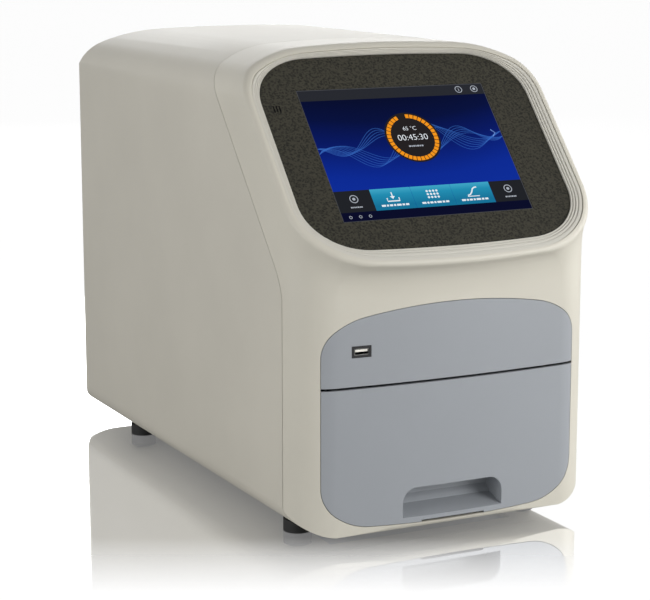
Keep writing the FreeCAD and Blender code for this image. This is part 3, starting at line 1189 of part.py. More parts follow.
def fan_frame(size, deep, hub_r):
    """Square fan frame round a duct; axis along Y from the origin, with a hub cup and a pin for the rotor."""
    half = size / 2
    frame = box(-half, half, 0, deep, -half, half)
    frame = frame.makeFillet(5.0, [e for e in frame.Edges if abs(e.tangentAt(0).y) > 0.9])
    duct_r = half - FAN_WALL
    frame = frame.cut(rod(duct_r, V(0, -1, 0), V(0, deep + 1, 0)))
    hub = rod(hub_r, V(0, deep - 4, 0), V(0, deep, 0))
    arms = [turned(box(hub_r - 1, duct_r + 0.5, deep - 3, deep, -1.6, 1.6), V(0, 0, 0), Y, 45 + 90 * i)
            for i in range(4)]
    pin = rod(FAN_PIN_R, V(0, 3, 0), V(0, deep - 3, 0))
    return fuse(frame, hub, pin, *arms)


def fan_rotor(size, deep, hub_r):
    """Hub with pitched blades that widen towards the tip."""
    y0, y1 = 2.0, deep - 4 - 1.0
    hub = rod(hub_r, V(0, y0, 0), V(0, y1, 0))
    tip_r = size / 2 - FAN_WALL - FAN_TIP_GAP
    middle = (y0 + y1) / 2
    reach = 0.42 * (y1 - y0) / math.sin(math.radians(BLADE_PITCH))
    root = 0.7 * reach
    outline = [V(hub_r - 1.5, 0, -root), V(tip_r + 2, 0, -reach), V(tip_r + 2, 0, reach), V(hub_r - 1.5, 0, root)]
    blade = prism(Part.makePolygon(outline + outline[:1]), Y * BLADE_THICK)
    blade = moved(turned(blade, V(0, 0, 0), X, -BLADE_PITCH), V(0, middle, 0))
    trim = rod(tip_r, V(0, y0 + 0.2, 0), V(0, y1 - 0.2, 0))
    blade = blade.common(trim)
    blades = [turned(blade, V(0, 0, 0), Y, 360.0 * i / FAN_BLADES) for i in range(FAN_BLADES)]
    bore = rod(FAN_PIN_R + SHAFT_PLAY, V(0, 0, 0), V(0, deep, 0))
    return fuse(hub, *blades).cut(bore)


def moved(shape, vector):
    copy = shape.copy()
    copy.translate(vector)
    return copy


EXHAUST_AT = V(FAN_X, PANEL_Y - FAN_DEEP, FAN_Z)
BLOCK_FAN_AT = V(0, BLOCK_Y + SINK_HALF_Y + 4, SINK_Z + SMALL_FAN / 2)


def make_power_supply():
    """Boxed supply on the base plate with a vented lid."""
    y0, y1 = SUPPLY_Y - SUPPLY[1] / 2, SUPPLY_Y + SUPPLY[1] / 2
    z0 = BOTTOM_Z + WALL + BASE_SHEET
    case = box(SUPPLY_X - SUPPLY[0] / 2, SUPPLY_X + SUPPLY[0] / 2, y0, y1 - 22, z0, z0 + SUPPLY[2])
    slots = [box(SUPPLY_X - 36, SUPPLY_X + 36, y0 + 14 + i * 10, y0 + 18 + i * 10, z0 + SUPPLY[2] - 2,
                 z0 + SUPPLY[2] + 1) for i in range(7)]
    return case.cut(group(slots))


def board_with_posts(x0, x1, y0, y1, low, chips):
    """Level circuit board on four standoffs, with chips given as (x, y, size, height) from its corner."""
    z = low + STANDOFF
    board = box(x0, x1, y0, y1, z, z + BOARD_THICK)
    posts = [rod(2.5, V(x, y, low), V(x, y, z)) for x in (x0 + 5, x1 - 5) for y in (y0 + 5, y1 - 5)]
    parts = [box(x0 + x, x0 + x + s, y0 + y, y0 + y + s, z + BOARD_THICK, z + BOARD_THICK + h)
             for x, y, s, h in chips]
    return fuse(board, *(posts + parts))


def make_main_board():
    """Controller board on the rear of the optics deck."""
    half = MAIN_BOARD[0] / 2
    y0 = MAIN_BOARD_Y - MAIN_BOARD[1] / 2 + 22
    y1 = MAIN_BOARD_Y + MAIN_BOARD[1] / 2
    chips = ((20, 20, 26, 3), (60, 14, 14, 2), (60, 36, 14, 2), (92, 18, 20, 9), (122, 12, 12, 12))
    return board_with_posts(-half, half, y0, y1, SHROUD_Z, chips)


def make_driver_board():
    """Block driver board on the base plate beside the supply."""
    z0 = BOTTOM_Z + WALL + BASE_SHEET
    y0 = SUPPLY_Y - DRIVER_BOARD[0] / 2
    chips = ((6, 12, 12, 14), (6, 34, 12, 14), (6, 56, 12, 14))
    return board_with_posts(DRIVER_X - 16, DRIVER_X + 18, y0, y0 + DRIVER_BOARD[1], z0, chips)


def make_foot(x, y):
    """Rubber foot with a screw hollow in its underside."""
    body = rod(FOOT_R, V(x, y, 0), V(x, y, FOOT_HIGH))
    return body.cut(rod(FOOT_SCREW_R, V(x, y, -1), V(x, y, FOOT_SCREW_DEEP)))


def make_rear_screws():
    """Pan-head screws round the rear panel."""
    y = REAR_Y - WALL
    places = [(sx * (REAR_OPEN_HALF - 7), z) for sx in (-1, 1)
              for z in (REAR_OPEN_LOW + 7, (REAR_OPEN_LOW + REAR_OPEN_HIGH) / 2, REAR_OPEN_HIGH - 7)]
    screws = []
    for x, z in places:
        head = rod(SCREW_R, V(x, y, z), V(x, y + SCREW_HEAD, z))
        slot = box(x - SCREW_R, x + SCREW_R, y + SCREW_HEAD - 0.8, y + SCREW_HEAD + 1, z - 0.5, z + 0.5)
        screws.append(head.cut(slot))
    return group(screws)


NODES = {
    "main_cover": make_main_cover,
    "front_fascia": make_front_fascia,
    "screen_surround": make_screen_surround,
    "screen_bezel": make_screen_bezel,
    "touch_glass": make_touch_glass,
    "screen_module": make_screen_module,
    "screen_bracket": make_screen_bracket,
    "screen_board": make_screen_board,
    "upper_panel": make_upper_panel,
    "front_usb_socket": make_front_usb_socket,
    "drawer_front": make_drawer_front,
    "drawer_tray": make_drawer_tray,
    "drawer_deck": make_drawer_deck,
    "rail_left": lambda: rail_channel(-1),
    "rail_right": lambda: rail_channel(1),
    "slide_left": lambda: slide_bar(-1),
    "slide_right": lambda: slide_bar(1),
    "heat_sink": make_heat_sink,
    "peltier_elements": make_peltier_elements,
    "sample_block": make_sample_block,
    "block_fan_frame": lambda: moved(fan_frame(SMALL_FAN, SMALL_FAN_DEEP, FAN_HUB_R * 0.7), BLOCK_FAN_AT),
    "block_fan_rotor": lambda: moved(fan_rotor(SMALL_FAN, SMALL_FAN_DEEP, FAN_HUB_R * 0.7), BLOCK_FAN_AT),
    "base_plate": make_base_plate,
    "side_channel_left": lambda: side_channel(-1),
    "side_channel_right": lambda: side_channel(1),
    "optics_deck": make_optics_deck,
    "guide_rods": make_guide_rods,
    "cover_carrier": make_cover_carrier,
    "cover_bushes": make_cover_bushes,
    "heater_plate": make_heater_plate,
    "lift_screw": make_lift_screw,
    "lift_motor": make_lift_motor,
    "optics_shroud": make_optics_shroud,
    "field_lens": make_field_lens,
    "fold_mirror": make_fold_mirror,
    "filter_wheel": make_filter_wheel,
    "emission_filters": make_emission_filters,
    "wheel_bracket": make_wheel_bracket,
    "wheel_motor": make_wheel_motor,
    "camera_lens": make_camera_lens,
    "camera": make_camera,
    "lamp_module": make_lamp_module,
    "rear_panel": make_rear_panel,
    "rear_screws": make_rear_screws,
    "mains_inlet": make_mains_inlet,
    "inlet_pins": make_inlet_pins,
    "switch_frame": make_switch_frame,
    "power_rocker": make_power_rocker,
    "rear_usb_sockets": make_rear_usb_sockets,
    "network_socket": make_network_socket,
    "port_board": make_port_board,
    "exhaust_fan_frame": lambda: moved(fan_frame(FAN, FAN_DEEP, FAN_HUB_R), EXHAUST_AT),
    "exhaust_fan_rotor": lambda: moved(fan_rotor(FAN, FAN_DEEP, FAN_HUB_R), EXHAUST_AT),
    "power_supply": make_power_supply,
    "main_board": make_main_board,
    "driver_board": make_driver_board,
    "foot_front_left": lambda: make_foot(-FOOT_X, FOOT_FRONT_Y),
    "foot_front_right": lambda: make_foot(FOOT_X, FOOT_FRONT_Y),
    "foot_rear_left": lambda: make_foot(-FOOT_X, FOOT_REAR_Y),
    "foot_rear_right": lambda: make_foot(FOOT_X, FOOT_REAR_Y),
}

if __name__ == "__main__":
    os.makedirs("parts", exist_ok=True)
    for name, make in NODES.items():
        shape = make()
        shape.exportStep("parts/" + name + ".step")
        print(name, "valid" if shape.isValid() else "INVALID", len(shape.Solids), round(shape.Volume))
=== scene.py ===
"""Looks of a bench-top real-time PCR instrument: finishes, lit screen, small details, light and camera."""
import math
import bmesh
import bpy
from mathutils import Matrix, Vector
from mathutils.geometry import convex_hull_2d


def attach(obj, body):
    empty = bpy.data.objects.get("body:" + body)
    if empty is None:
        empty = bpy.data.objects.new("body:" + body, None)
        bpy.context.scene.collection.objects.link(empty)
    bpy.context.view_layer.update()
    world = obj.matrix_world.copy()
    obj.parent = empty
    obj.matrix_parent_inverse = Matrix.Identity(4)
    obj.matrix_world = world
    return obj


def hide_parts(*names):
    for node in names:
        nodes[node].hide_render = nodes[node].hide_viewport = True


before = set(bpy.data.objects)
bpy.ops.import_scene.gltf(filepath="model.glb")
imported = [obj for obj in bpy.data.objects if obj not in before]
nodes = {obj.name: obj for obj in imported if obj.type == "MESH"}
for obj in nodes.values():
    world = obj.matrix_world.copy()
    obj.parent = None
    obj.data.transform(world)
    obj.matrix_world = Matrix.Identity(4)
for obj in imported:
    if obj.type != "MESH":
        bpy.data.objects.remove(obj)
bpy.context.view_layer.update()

MM = 0.001

# Camera solved from the photograph
CAMERA_AZIMUTH = -26.47
CAMERA_ELEVATION = 10.94
CAMERA_PLACE = Vector((-0.75798, -1.53277, 0.4793))
SENSOR_MM = 36.0
FOCAL_PX = 1965.88
PHOTO_WIDTH_PX = 650.0

# Sloping face, as in the construction
SLOPE = math.radians(41.8)
FACE_CENTRE = Vector((0.0, -0.1812, 0.3037))
UP_SLOPE = Vector((0.0, math.sin(SLOPE), math.cos(SLOPE)))
INWARD = Vector((0.0, math.cos(SLOPE), -math.sin(SLOPE)))
GLASS_DEPTH = 4.9 * MM
LAYER = 0.035 * MM          # the thin plates of the lit picture lie this far above each other
PLATE = 0.8 * LAYER

# Dark panel round the screen and the ring round it, seen square on; depths go inward from the sloping face
BEZEL_MIDDLE = -1.2 * MM     # the panel sits a little to the left
BEZEL_HALF = 121.1 * MM
BEZEL_TOP = 95.6 * MM
BEZEL_BOTTOM = 91.5 * MM
BEZEL_CORNER = (52.0 * MM, 44.0 * MM)
BEZEL_CROWN = 1.6 * MM
BEZEL_DEPTH = 4.2 * MM
BEZEL_PLAY = 0.2 * MM
BEZEL_CHAMFER = 0.25 * MM
POCKET_DEPTH = 6.0 * MM
BEAD_SHARES = (1.0, 0.68, 0.42, 0.2, 0.0)
BEAD_DEPTH = 0.66 * MM
BEAD_STEP = 0.7 * MM
BEAD_RISE = 0.3 * MM
GROOVE_DEPTH = 0.5 * MM
BEAD_PROFILE = ((0.0, 1.0), (0.12, 0.25), (0.5, 0.0), (0.88, 0.25), (1.0, 1.0))     # place across, drop
GROOVE_SHARE = 0.045
AROUND = 240
SEARCH_FROM = 50.0 * MM
SEARCH_TO = 200.0 * MM
SEARCH_STEPS = 24

# Three short upright slots in the dark panel, upper left; they are near-black plates, painted shade inside
# the slots
SLOT_U = -113.0 * MM
SLOT_PITCH = 2.5 * MM
SLOT_WIDE = 1.1 * MM
SLOT_LOW = 42.4 * MM
SLOT_HIGH = 48.6 * MM

# Table
FLOOR_HALF = 30.0
FLOOR_GREY = 0.4            # what the camera sees: a lit grey that keeps the shadow, lifted towards white
FLOOR_LIFT = 0.8
FLOOR_BOUNCE = 0.72         # how much light it throws back on the object
FLOOR_ROUGH = 0.04

# Mirror image on the table: its strength, and where it fades, measured from the middle towards the camera
MIRROR = 0.82
FADE_START = 0.22
FADE_END = 0.355

# Soft light of the surroundings near the horizon and overhead
SKY_LOW = 0.42
SKY_HIGH = 0.1

# Soft boxes: name, place, size (metres) and power
LIGHT_TARGET = (0.0, -0.1, 0.2)
SOFT_BOXES = (
    ("key_box", (1.7, -2.3, 1.0), (1.6, 1.4), 52.0),
    ("right_box", (2.6, -0.7, 0.6), (0.8, 1.6), 25.0),
    ("left_box", (-2.4, -0.5, 0.65), (1.4, 1.6), 25.0),
    ("rear_box", (0.9, 2.7, 1.0), (1.6, 1.2), 16.0),
)

# Shading of the moulded shells
WELD_REACH = 0.01 * MM
CRISP_EDGE = math.radians(34)

# Mouth of the front socket: its lower left and upper right corners (x, z) and the face it opens in
SOCKET_LOW = (-87.0 * MM, 153.8 * MM)
SOCKET_HIGH = (-74.6 * MM, 158.8 * MM)
SOCKET_FRONT = -235.5 * MM
SOCKET_WALL = 0.45 * MM
SOCKET_INSET = 0.3 * MM
SOCKET_DEEP = 3.0 * MM
TONGUE_SIDE = 0.9 * MM
TONGUE_FRONT = 0.5 * MM
TONGUE_BACK = 0.8 * MM
TONGUE_HIGH = 1.75 * MM

# Lit area of the screen
SCREEN_W = 169.2 * MM
SCREEN_H = 125.4 * MM
SCREEN_U = -3.6 * MM
SCREEN_SHEEN = 0.006         # the cover glass is coated, so it hardly mirrors the room
SCREEN_GLOSS = 0.12
SCREEN_BLACK = (0.002, 0.002, 0.003, 1.0)

# What the screen shows: places as shares of its width and height, and layers above the glass
FIELD_LAYER = 2
TILE_LAYER = 3
LINE_LAYER = 4
SIGN_LAYER = 5
BAR_LOW = 0.915
BAR_SIGNS = (0.862, 0.948)
TILE_LOW = 0.07
TILE_HIGH = 0.228
TILE_EDGES = (0.0, 0.186, 0.397, 0.608, 0.818, 1.0)
TILE_JOINT = 0.001
TILE_SIGN_RISE = 0.012
FOOT_SIGN_START = 0.045
FOOT_SIGN_PITCH = 0.05
ARROW_PLACE = (0.955, 0.6)
# width of the painted highlight: a grey glowing line along the edge of the screen's window
EDGE_HIGHLIGHT_WIDTH = 0.55 * MM
WAVE_LINE = 0.55 * MM
WAVE_PARTS = 60
WAVE_MIDDLE = 0.56
WAVE_MARGIN = 0.005
CAPTION_BARS = (2.0, 1.0, 1.5, 1.0, 2.2, 1.2, 1.6)
CAPTION_GAP = 0.5

# Progress ring with the digits in it
RING_CENTRE = (0.515, 0.6)
RING_OUT = 22.5 * MM
RING_IN = 18.9 * MM
RING_DARK = 24.2 * MM
RING_PARTS = 36
RING_DONE = 34
RING_JOINT = 0.9            # degrees at each end of a part
DIGITS_HIGH = 5.8 * MM
DIGITS_DROP = 0.2 * MM
SMALL_DIGITS_HIGH = 3.8 * MM
SMALL_DIGITS_RISE = 8.6 * MM
RING_CAPTION_DROP = 8.4 * MM


def srgb(r, g, b):
    """Linear colour from 0-255 display values."""
    def linear(c):
        c = c / 255.0
        return c / 12.92 if c <= 0.04045 else ((c + 0.055) / 1.055) ** 2.4
    return (linear(r), linear(g), linear(b), 1.0)


def on_face(u, v, depth=0.0):
    return FACE_CENTRE + Vector((u, 0.0, 0.0)) + UP_SLOPE * v + INWARD * depth


def make_camera():
    az, el = math.radians(CAMERA_AZIMUTH), math.radians(CAMERA_ELEVATION)
    back = Vector((math.sin(az) * math.cos(el), -math.cos(az) * math.cos(el), math.sin(el)))
    right = Vector((math.cos(az), math.sin(az), 0.0))
    up = back.cross(right)
    data = bpy.data.cameras.new("camera")
    data.sensor_width = SENSOR_MM
    data.lens = SENSOR_MM * FOCAL_PX / PHOTO_WIDTH_PX
    camera = bpy.data.objects.new("camera", data)
    bpy.context.scene.collection.objects.link(camera)
    turn = Matrix((right, up, back)).transposed()
    camera.matrix_world = Matrix.Translation(CAMERA_PLACE) @ turn.to_4x4()
    bpy.context.scene.camera = camera


class Shader:
    """A small helper that adds nodes to a material and links them."""

    def __init__(self, name):
        self.material = bpy.data.materials.new(name)
        self.material.use_nodes = True
        self.tree = self.material.node_tree
        self.main = self.tree.nodes["Principled BSDF"]

    def add(self, kind, **inputs):
        node = self.tree.nodes.new(kind)
        for key, value in inputs.items():
            if key in node.bl_rna.properties.keys() and not key[0].isupper():
                setattr(node, key, value)
            else:
                node.inputs[key.replace("_", " ")].default_value = value
        return node

    def link(self, source, target):
        self.tree.links.new(source, target)

    def set(self, **values):
        for key, value in values.items():
            self.main.inputs[key.replace("_", " ")].default_value = value

    def place(self):
        return self.add("ShaderNodeTexCoord").outputs["Object"]

    def noise(self, scale, detail=4.0, rough=0.5, vector=None):
        node = self.add("ShaderNodeTexNoise", Scale=scale, Detail=detail, Roughness=rough)
        self.link(vector or self.place(), node.inputs["Vector"])
        return node.outputs["Fac"]

    def cells(self, scale, feature="F1", vector=None):
        node = self.add("ShaderNodeTexVoronoi", feature=feature, Scale=scale)
        self.link(vector or self.place(), node.inputs["Vector"])
        return node.outputs["Distance"]

    def ramp(self, factor, stops):
        node = self.add("ShaderNodeValToRGB")
        while len(node.color_ramp.elements) < len(stops):
            node.color_ramp.elements.new(0.5)
        for element, (place, colour) in zip(node.color_ramp.elements, stops):
            element.position = place
            element.color = colour
        self.link(factor, node.inputs["Fac"])
        return node.outputs["Color"]

    def math(self, operation, a, b=None, clamp=False):
        node = self.add("ShaderNodeMath", operation=operation, use_clamp=clamp)
        for i, value in enumerate((a, b)):
            if value is None:
                continue
            if isinstance(value, (int, float)):
                node.inputs[i].default_value = value
            else:
                self.link(value, node.inputs[i])
        return node.outputs[0]

    def bump(self, height, strength, distance, under=None):
        node = self.add("ShaderNodeBump", Strength=strength, Distance=distance)
        self.link(height, node.inputs["Height"])
        if under is not None:
            self.link(under, node.inputs["Normal"])
        return node.outputs["Normal"]


def shade(colour, factor):
    return (colour[0] * factor, colour[1] * factor, colour[2] * factor, 1.0)


def moulded(name, colour, rough, grain=1400.0, depth=0.00003, vary=0.03, specular=0.5):
    """Moulded plastic: a fine spark-eroded grain, a slow waviness, slight differences in tone and gloss."""
    s = Shader(name)
    slow = s.noise(9.0, 3.0)
    tone = s.ramp(slow, [(0.3, shade(colour, 1.0 - vary)), (0.7, shade(colour, 1.0 + vary))])
    s.link(tone, s.main.inputs["Base Color"])
    fine = s.noise(grain, 2.0, 0.6)
    normal = s.bump(s.noise(26.0, 2.0), 0.05, 0.002)
    s.link(s.bump(fine, 0.35, depth, normal), s.main.inputs["Normal"])
    gloss = s.add("ShaderNodeMapRange", To_Min=rough - 0.04, To_Max=rough + 0.05)
    s.link(fine, gloss.inputs["Value"])
    s.link(gloss.outputs["Result"], s.main.inputs["Roughness"])
    s.set(Specular_IOR_Level=specular)
    return s.material


def metal(name, colour, rough, stretch=(1.0, 40.0, 1.0), depth=0.00002):
    """Drawn or machined metal with a directional grain."""
    s = Shader(name)
    mapping = s.add("ShaderNodeMapping", Scale=stretch)
    s.link(s.place(), mapping.inputs["Vector"])
    lines = s.noise(260.0, 5.0, 0.6, mapping.outputs["Vector"])
    tone = s.ramp(lines, [(0.3, shade(colour, 0.9)), (0.7, shade(colour, 1.08))])
    s.link(tone, s.main.inputs["Base Color"])
    gloss = s.add("ShaderNodeMapRange", To_Min=rough - 0.08, To_Max=rough + 0.1)
    s.link(lines, gloss.inputs["Value"])
    s.link(gloss.outputs["Result"], s.main.inputs["Roughness"])
    s.link(s.bump(lines, 0.25, depth), s.main.inputs["Normal"])
    s.set(Metallic=1.0)
    return s.material


def textured_bezel():
    """Dark panel with a leather-like mottled relief."""
    s = Shader("bezel_grain")
    stretch = s.add("ShaderNodeMapping", Scale=(1.0, 1.0, 1.25))
    s.link(s.place(), stretch.inputs["Vector"])
    where = stretch.outputs["Vector"]
    blotch = s.noise(620.0, 3.0, 0.62, where)
    pebble = s.cells(520.0, "SMOOTH_F1", where)
    mix = s.math("ADD", s.math("MULTIPLY", blotch, 0.72), s.math("MULTIPLY", pebble, 0.5))
    tone = s.ramp(mix, [(0.38, srgb(22, 22, 18)), (0.5, srgb(41, 40, 34)), (0.64, srgb(60, 58, 49))])
    s.link(tone, s.main.inputs["Base Color"])
    s.link(s.bump(mix, 0.4, 0.00012), s.main.inputs["Normal"])
    s.set(Roughness=0.6, Specular_IOR_Level=0.12)
    return s.material


def under_glass(s, tone, gloss=SCREEN_GLOSS):
    """Makes a shader glow in a tone, black itself and behind coated glass."""
    s.link(tone, s.main.inputs["Emission Color"])
    s.set(Base_Color=SCREEN_BLACK, Emission_Strength=1.0, Roughness=gloss, Specular_IOR_Level=SCREEN_SHEEN)
    return s.material


def glow(name, colour, gloss=SCREEN_GLOSS):
    """A flat glowing colour under the cover glass: the lit parts of the screen, and also the painted
    highlight along the screen's edge and the painted shade in the panel's slots.
    """
    s = Shader(name)
    dots = s.cells(9000.0)
    level = s.add("ShaderNodeMapRange", To_Min=0.94, To_Max=1.04)
    s.link(dots, level.inputs["Value"])
    tint = s.add("ShaderNodeMix", data_type="RGBA", blend_type="MULTIPLY")
    tint.inputs["Factor"].default_value = 1.0
    tint.inputs[6].default_value = colour
    s.link(level.outputs["Result"], tint.inputs[7])
    return under_glass(s, tint.outputs[2], gloss)


def across_screen(s):
    """Place on the lit screen, from 0 to 1: up from its lower edge and across from its left edge."""
    parts = s.add("ShaderNodeSeparateXYZ")
    s.link(s.place(), parts.inputs["Vector"])
    places = []
    for axis, low, high in (("Z", on_face(0, -SCREEN_H / 2).z, on_face(0, SCREEN_H / 2).z),
                            ("X", SCREEN_U - SCREEN_W / 2, SCREEN_U + SCREEN_W / 2)):
        node = s.add("ShaderNodeMapRange")
        node.inputs["From Min"].default_value = low
        node.inputs["From Max"].default_value = high
        s.link(parts.outputs[axis], node.inputs["Value"])
        places.append(node.outputs[0])
    return places


def lit_field():
    """Deep blue field of the screen, nearly black at the top, with a bowed edge between the tones."""
    s = Shader("screen_field")
    up, across = across_screen(s)
    bow = s.math("MULTIPLY", s.math("SINE", s.math("MULTIPLY", across, 2.6)), 0.1)
    level = s.math("ADD", s.math("ADD", up, bow), s.math("MULTIPLY", across, -0.12))
    tone = s.ramp(level, [(0.0, srgb(8, 45, 156)), (0.3, srgb(6, 40, 146)), (0.55, srgb(2, 22, 98)),
                          (0.74, srgb(1, 12, 60)), (1.0, srgb(1, 5, 30))])
    return under_glass(s, tone)


def lit_tiles():
    """Teal of the three middle tiles, paler towards their upper edge."""
    s = Shader("screen_teal")
    up = across_screen(s)[0]
    tone = s.ramp(up, [(TILE_LOW, srgb(18, 112, 150)), ((TILE_LOW + TILE_HIGH) / 2, srgb(32, 140, 176)),
                       (TILE_HIGH, srgb(78, 182, 212))])
    return under_glass(s, tone)


def thin_glow(name, colour, alpha):
    """A faint glowing line drawn over the blue field."""
    s = Shader(name)
    fade = s.add("ShaderNodeMapRange", To_Min=alpha * 0.35, To_Max=alpha * 1.3)
    s.link(s.noise(60.0, 2.0), fade.inputs["Value"])
    s.link(fade.outputs[0], s.main.inputs["Alpha"])
    s.set(Base_Color=(0.0, 0.0, 0.0, 1.0), Emission_Color=colour, Emission_Strength=1.0, Roughness=0.2,
          Specular_IOR_Level=SCREEN_SHEEN)
    return s.material


def new_piece(name, mesh, material, body):
    """A piece of the scene's own, which rides a body."""
    piece = bpy.data.objects.new(name, mesh)
    bpy.context.scene.collection.objects.link(piece)
    mesh.materials.clear()
    mesh.materials.append(material)
    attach(piece, body)
    return piece


def housing_piece(name, bm, material):
    """A piece on the housing from a bmesh, which is freed."""
    mesh = bpy.data.meshes.new(name)
    bm.to_mesh(mesh)
    bm.free()
    return new_piece(name, mesh, material, "housing")


def flat_piece(name, outlines, layer, material, ground=GLASS_DEPTH):
    """Closed outlines in face coordinates (metres), raised into thin plates on a layer above the ground."""
    bm = bmesh.new()
    front = ground - layer * LAYER
    for outline in outlines:
        lower = [bm.verts.new(on_face(u, v, front + PLATE)) for u, v in outline]
        upper = [bm.verts.new(on_face(u, v, front)) for u, v in outline]
        bm.faces.new(upper)
        bm.faces.new(list(reversed(lower)))
        for i in range(len(outline)):
            j = (i + 1) % len(outline)
            bm.faces.new((lower[i], lower[j], upper[j], upper[i]))
    bmesh.ops.recalc_face_normals(bm, faces=bm.faces)
    return housing_piece(name, bm, material)


def screen_point(a, b):
    """Face coordinates from screen fractions: a from left to right, b from bottom to top."""
    return (SCREEN_U + (a - 0.5) * SCREEN_W, (b - 0.5) * SCREEN_H)


def panel(a0, b0, a1, b1):
    return [screen_point(a0, b0), screen_point(a1, b0), screen_point(a1, b1), screen_point(a0, b1)]


def disc(cu, cv, radius, count=48):
    """A round outline."""
    turns = [2 * math.pi * i / count for i in range(count)]
    return [(cu + radius * math.cos(t), cv + radius * math.sin(t)) for t in turns]


def arc_band(cu, cv, r_in, r_out, start, end, count=8):
    """A piece of a ring between two angles in degrees."""
    angles = [math.radians(start + (end - start) * i / count) for i in range(count + 1)]
    outer = [(cu + r_out * math.cos(t), cv + r_out * math.sin(t)) for t in angles]
    inner = [(cu + r_in * math.cos(t), cv + r_in * math.sin(t)) for t in reversed(angles)]
    return outer + inner


def full_ring(cu, cv, r_in, r_out, parts=4):
    """A whole ring, as a few arcs."""
    step = 360.0 / parts
    return [arc_band(cu, cv, r_in, r_out, step * i, step * (i + 1), 14) for i in range(parts)]


def stroke(points, width):
    """A line of even width through the points."""
    left, right = [], []
    for i, (u, v) in enumerate(points):
        before = points[max(i - 1, 0)]
        after = points[min(i + 1, len(points) - 1)]
        du, dv = after[0] - before[0], after[1] - before[1]
        size = math.hypot(du, dv) or 1.0
        nu, nv = -dv / size * width / 2, du / size * width / 2
        left.append((u + nu, v + nv))
        right.append((u - nu, v - nv))
    return left + list(reversed(right))


def text_piece(name, text, centre, height, layer, material):
    """Plain digits laid on the screen."""
    curve = bpy.data.curves.new(name, "FONT")
    curve.body = text
    curve.size = height * 1.38
    curve.align_x = "CENTER"
    curve.align_y = "CENTER"
    curve.extrude = PLATE / 2
    curve.offset = -0.012 * height
    curve.resolution_u = 6
    holder = bpy.data.objects.new(name + "_text", curve)
    bpy.context.scene.collection.objects.link(holder)
    bpy.context.view_layer.update()
    shown = holder.evaluated_get(bpy.context.evaluated_depsgraph_get())
    mesh = bpy.data.meshes.new_from_object(shown)
    bpy.data.objects.remove(holder)
    place = Matrix((Vector((1, 0, 0)), UP_SLOPE, -INWARD)).transposed().to_4x4()
    origin = on_face(centre[0], centre[1], GLASS_DEPTH - layer * LAYER + PLATE / 2)
    mesh.transform(Matrix.Translation(origin) @ place)
    return new_piece(name, mesh, material, "housing")


def wave(phase, swing, tilt, lobes):
    """A long soft curve across the field."""
    points = []
    for i in range(WAVE_PARTS + 1):
        a = i / WAVE_PARTS
        swell = math.sin(math.pi * a) ** 0.7
        b = WAVE_MIDDLE + tilt * (a - 0.5) + swing * math.sin(lobes * math.pi * a + phase) * swell
        points.append(screen_point(WAVE_MARGIN + (1 - 2 * WAVE_MARGIN) * a, b))
    return points


def make_screen():
    """The lit picture: a plain instrument display with digits, a progress ring, tiles and simple signs."""
    white = glow("screen_white", srgb(232, 238, 244))
    grey = glow("screen_grey", srgb(170, 176, 186))
    flat_piece("screen_field", [panel(0, 0, 1, 1)], FIELD_LAYER, lit_field())
    bar = glow("screen_bar", srgb(38, 40, 46))
    flat_piece("screen_top_bar", [panel(0, BAR_LOW, 1, 1)], TILE_LAYER, bar)
    flat_piece("screen_foot", [panel(0, 0, 1, TILE_LOW)], TILE_LAYER, glow("screen_navy", srgb(3, 6, 38)))
    dark = [panel(TILE_EDGES[i], TILE_LOW, TILE_EDGES[i + 1], TILE_HIGH) for i in (0, 4)]
    flat_piece("screen_dark_tiles", dark, TILE_LAYER, glow("screen_black", srgb(30, 32, 36)))
    tiles = [panel(TILE_EDGES[i], TILE_LOW, TILE_EDGES[i + 1] - TILE_JOINT, TILE_HIGH) for i in (1, 2, 3)]
    flat_piece("screen_tiles", tiles, TILE_LAYER, lit_tiles())
    make_edge_highlight()
    bundles = [wave(0.9 + 0.2 * i, 0.1 + 0.016 * i, 0.1, 3.4) for i in range(6)]
    bundles += [wave(2.7 + 0.16 * i, 0.07 + 0.018 * i, 0.02, 4.4) for i in range(5)]
    soft = thin_glow("screen_wave", srgb(70, 130, 225), 0.2)
    flat_piece("screen_waves", [stroke(points, WAVE_LINE) for points in bundles], TILE_LAYER, soft)
    make_ring(white, grey)
    make_signs(white, grey)


def make_edge_highlight():
    """A fine grey glowing line along the edge of the lit area: a painted highlight for the light caught
    along the window's edge.
    """
    half_u, half_v = SCREEN_W / 2 - EDGE_HIGHLIGHT_WIDTH / 2, SCREEN_H / 2 - EDGE_HIGHLIGHT_WIDTH / 2
    corners = [(SCREEN_U + su * half_u, sv * half_v) for su, sv in ((-1, -1), (1, -1), (1, 1), (-1, 1))]
    sides = [stroke([corners[i], corners[(i + 1) % 4]], EDGE_HIGHLIGHT_WIDTH) for i in range(4)]
    # the line glows grey in any light: painted highlight along the window's edge
    flat_piece("screen_edge_highlight", sides, LINE_LAYER, glow("screen_edge_highlight", srgb(74, 76, 80)))


def make_ring(white, grey):
    """The progress ring on its dark disc, with a temperature, a time and a caption in it."""
    cu, cv = screen_point(*RING_CENTRE)
    ring_dark = glow("screen_ring_dark", srgb(34, 30, 30))
    flat_piece("screen_ring_disc", [disc(cu, cv, RING_DARK, 72)], LINE_LAYER, ring_dark)
    step = 360.0 / RING_PARTS
    ends = [(90 - (i + 1) * step + RING_JOINT, 90 - i * step - RING_JOINT) for i in range(RING_DONE)]
    segments = [arc_band(cu, cv, RING_IN, RING_OUT, start, end, 4) for start, end in ends]
    flat_piece("screen_ring", segments, SIGN_LAYER, glow("screen_orange", srgb(244, 150, 24)))
    text_piece("screen_digits", "00:45:30", (cu, cv - DIGITS_DROP), DIGITS_HIGH, SIGN_LAYER, white)
    above = (cu, cv + SMALL_DIGITS_RISE)
    text_piece("screen_digits_small", "65 \u00b0C", above, SMALL_DIGITS_HIGH, SIGN_LAYER, white)
    bars = caption(cu, cv - RING_CAPTION_DROP, 13.0 * MM, 1.4 * MM)
    flat_piece("screen_ring_caption", bars, SIGN_LAYER, grey)


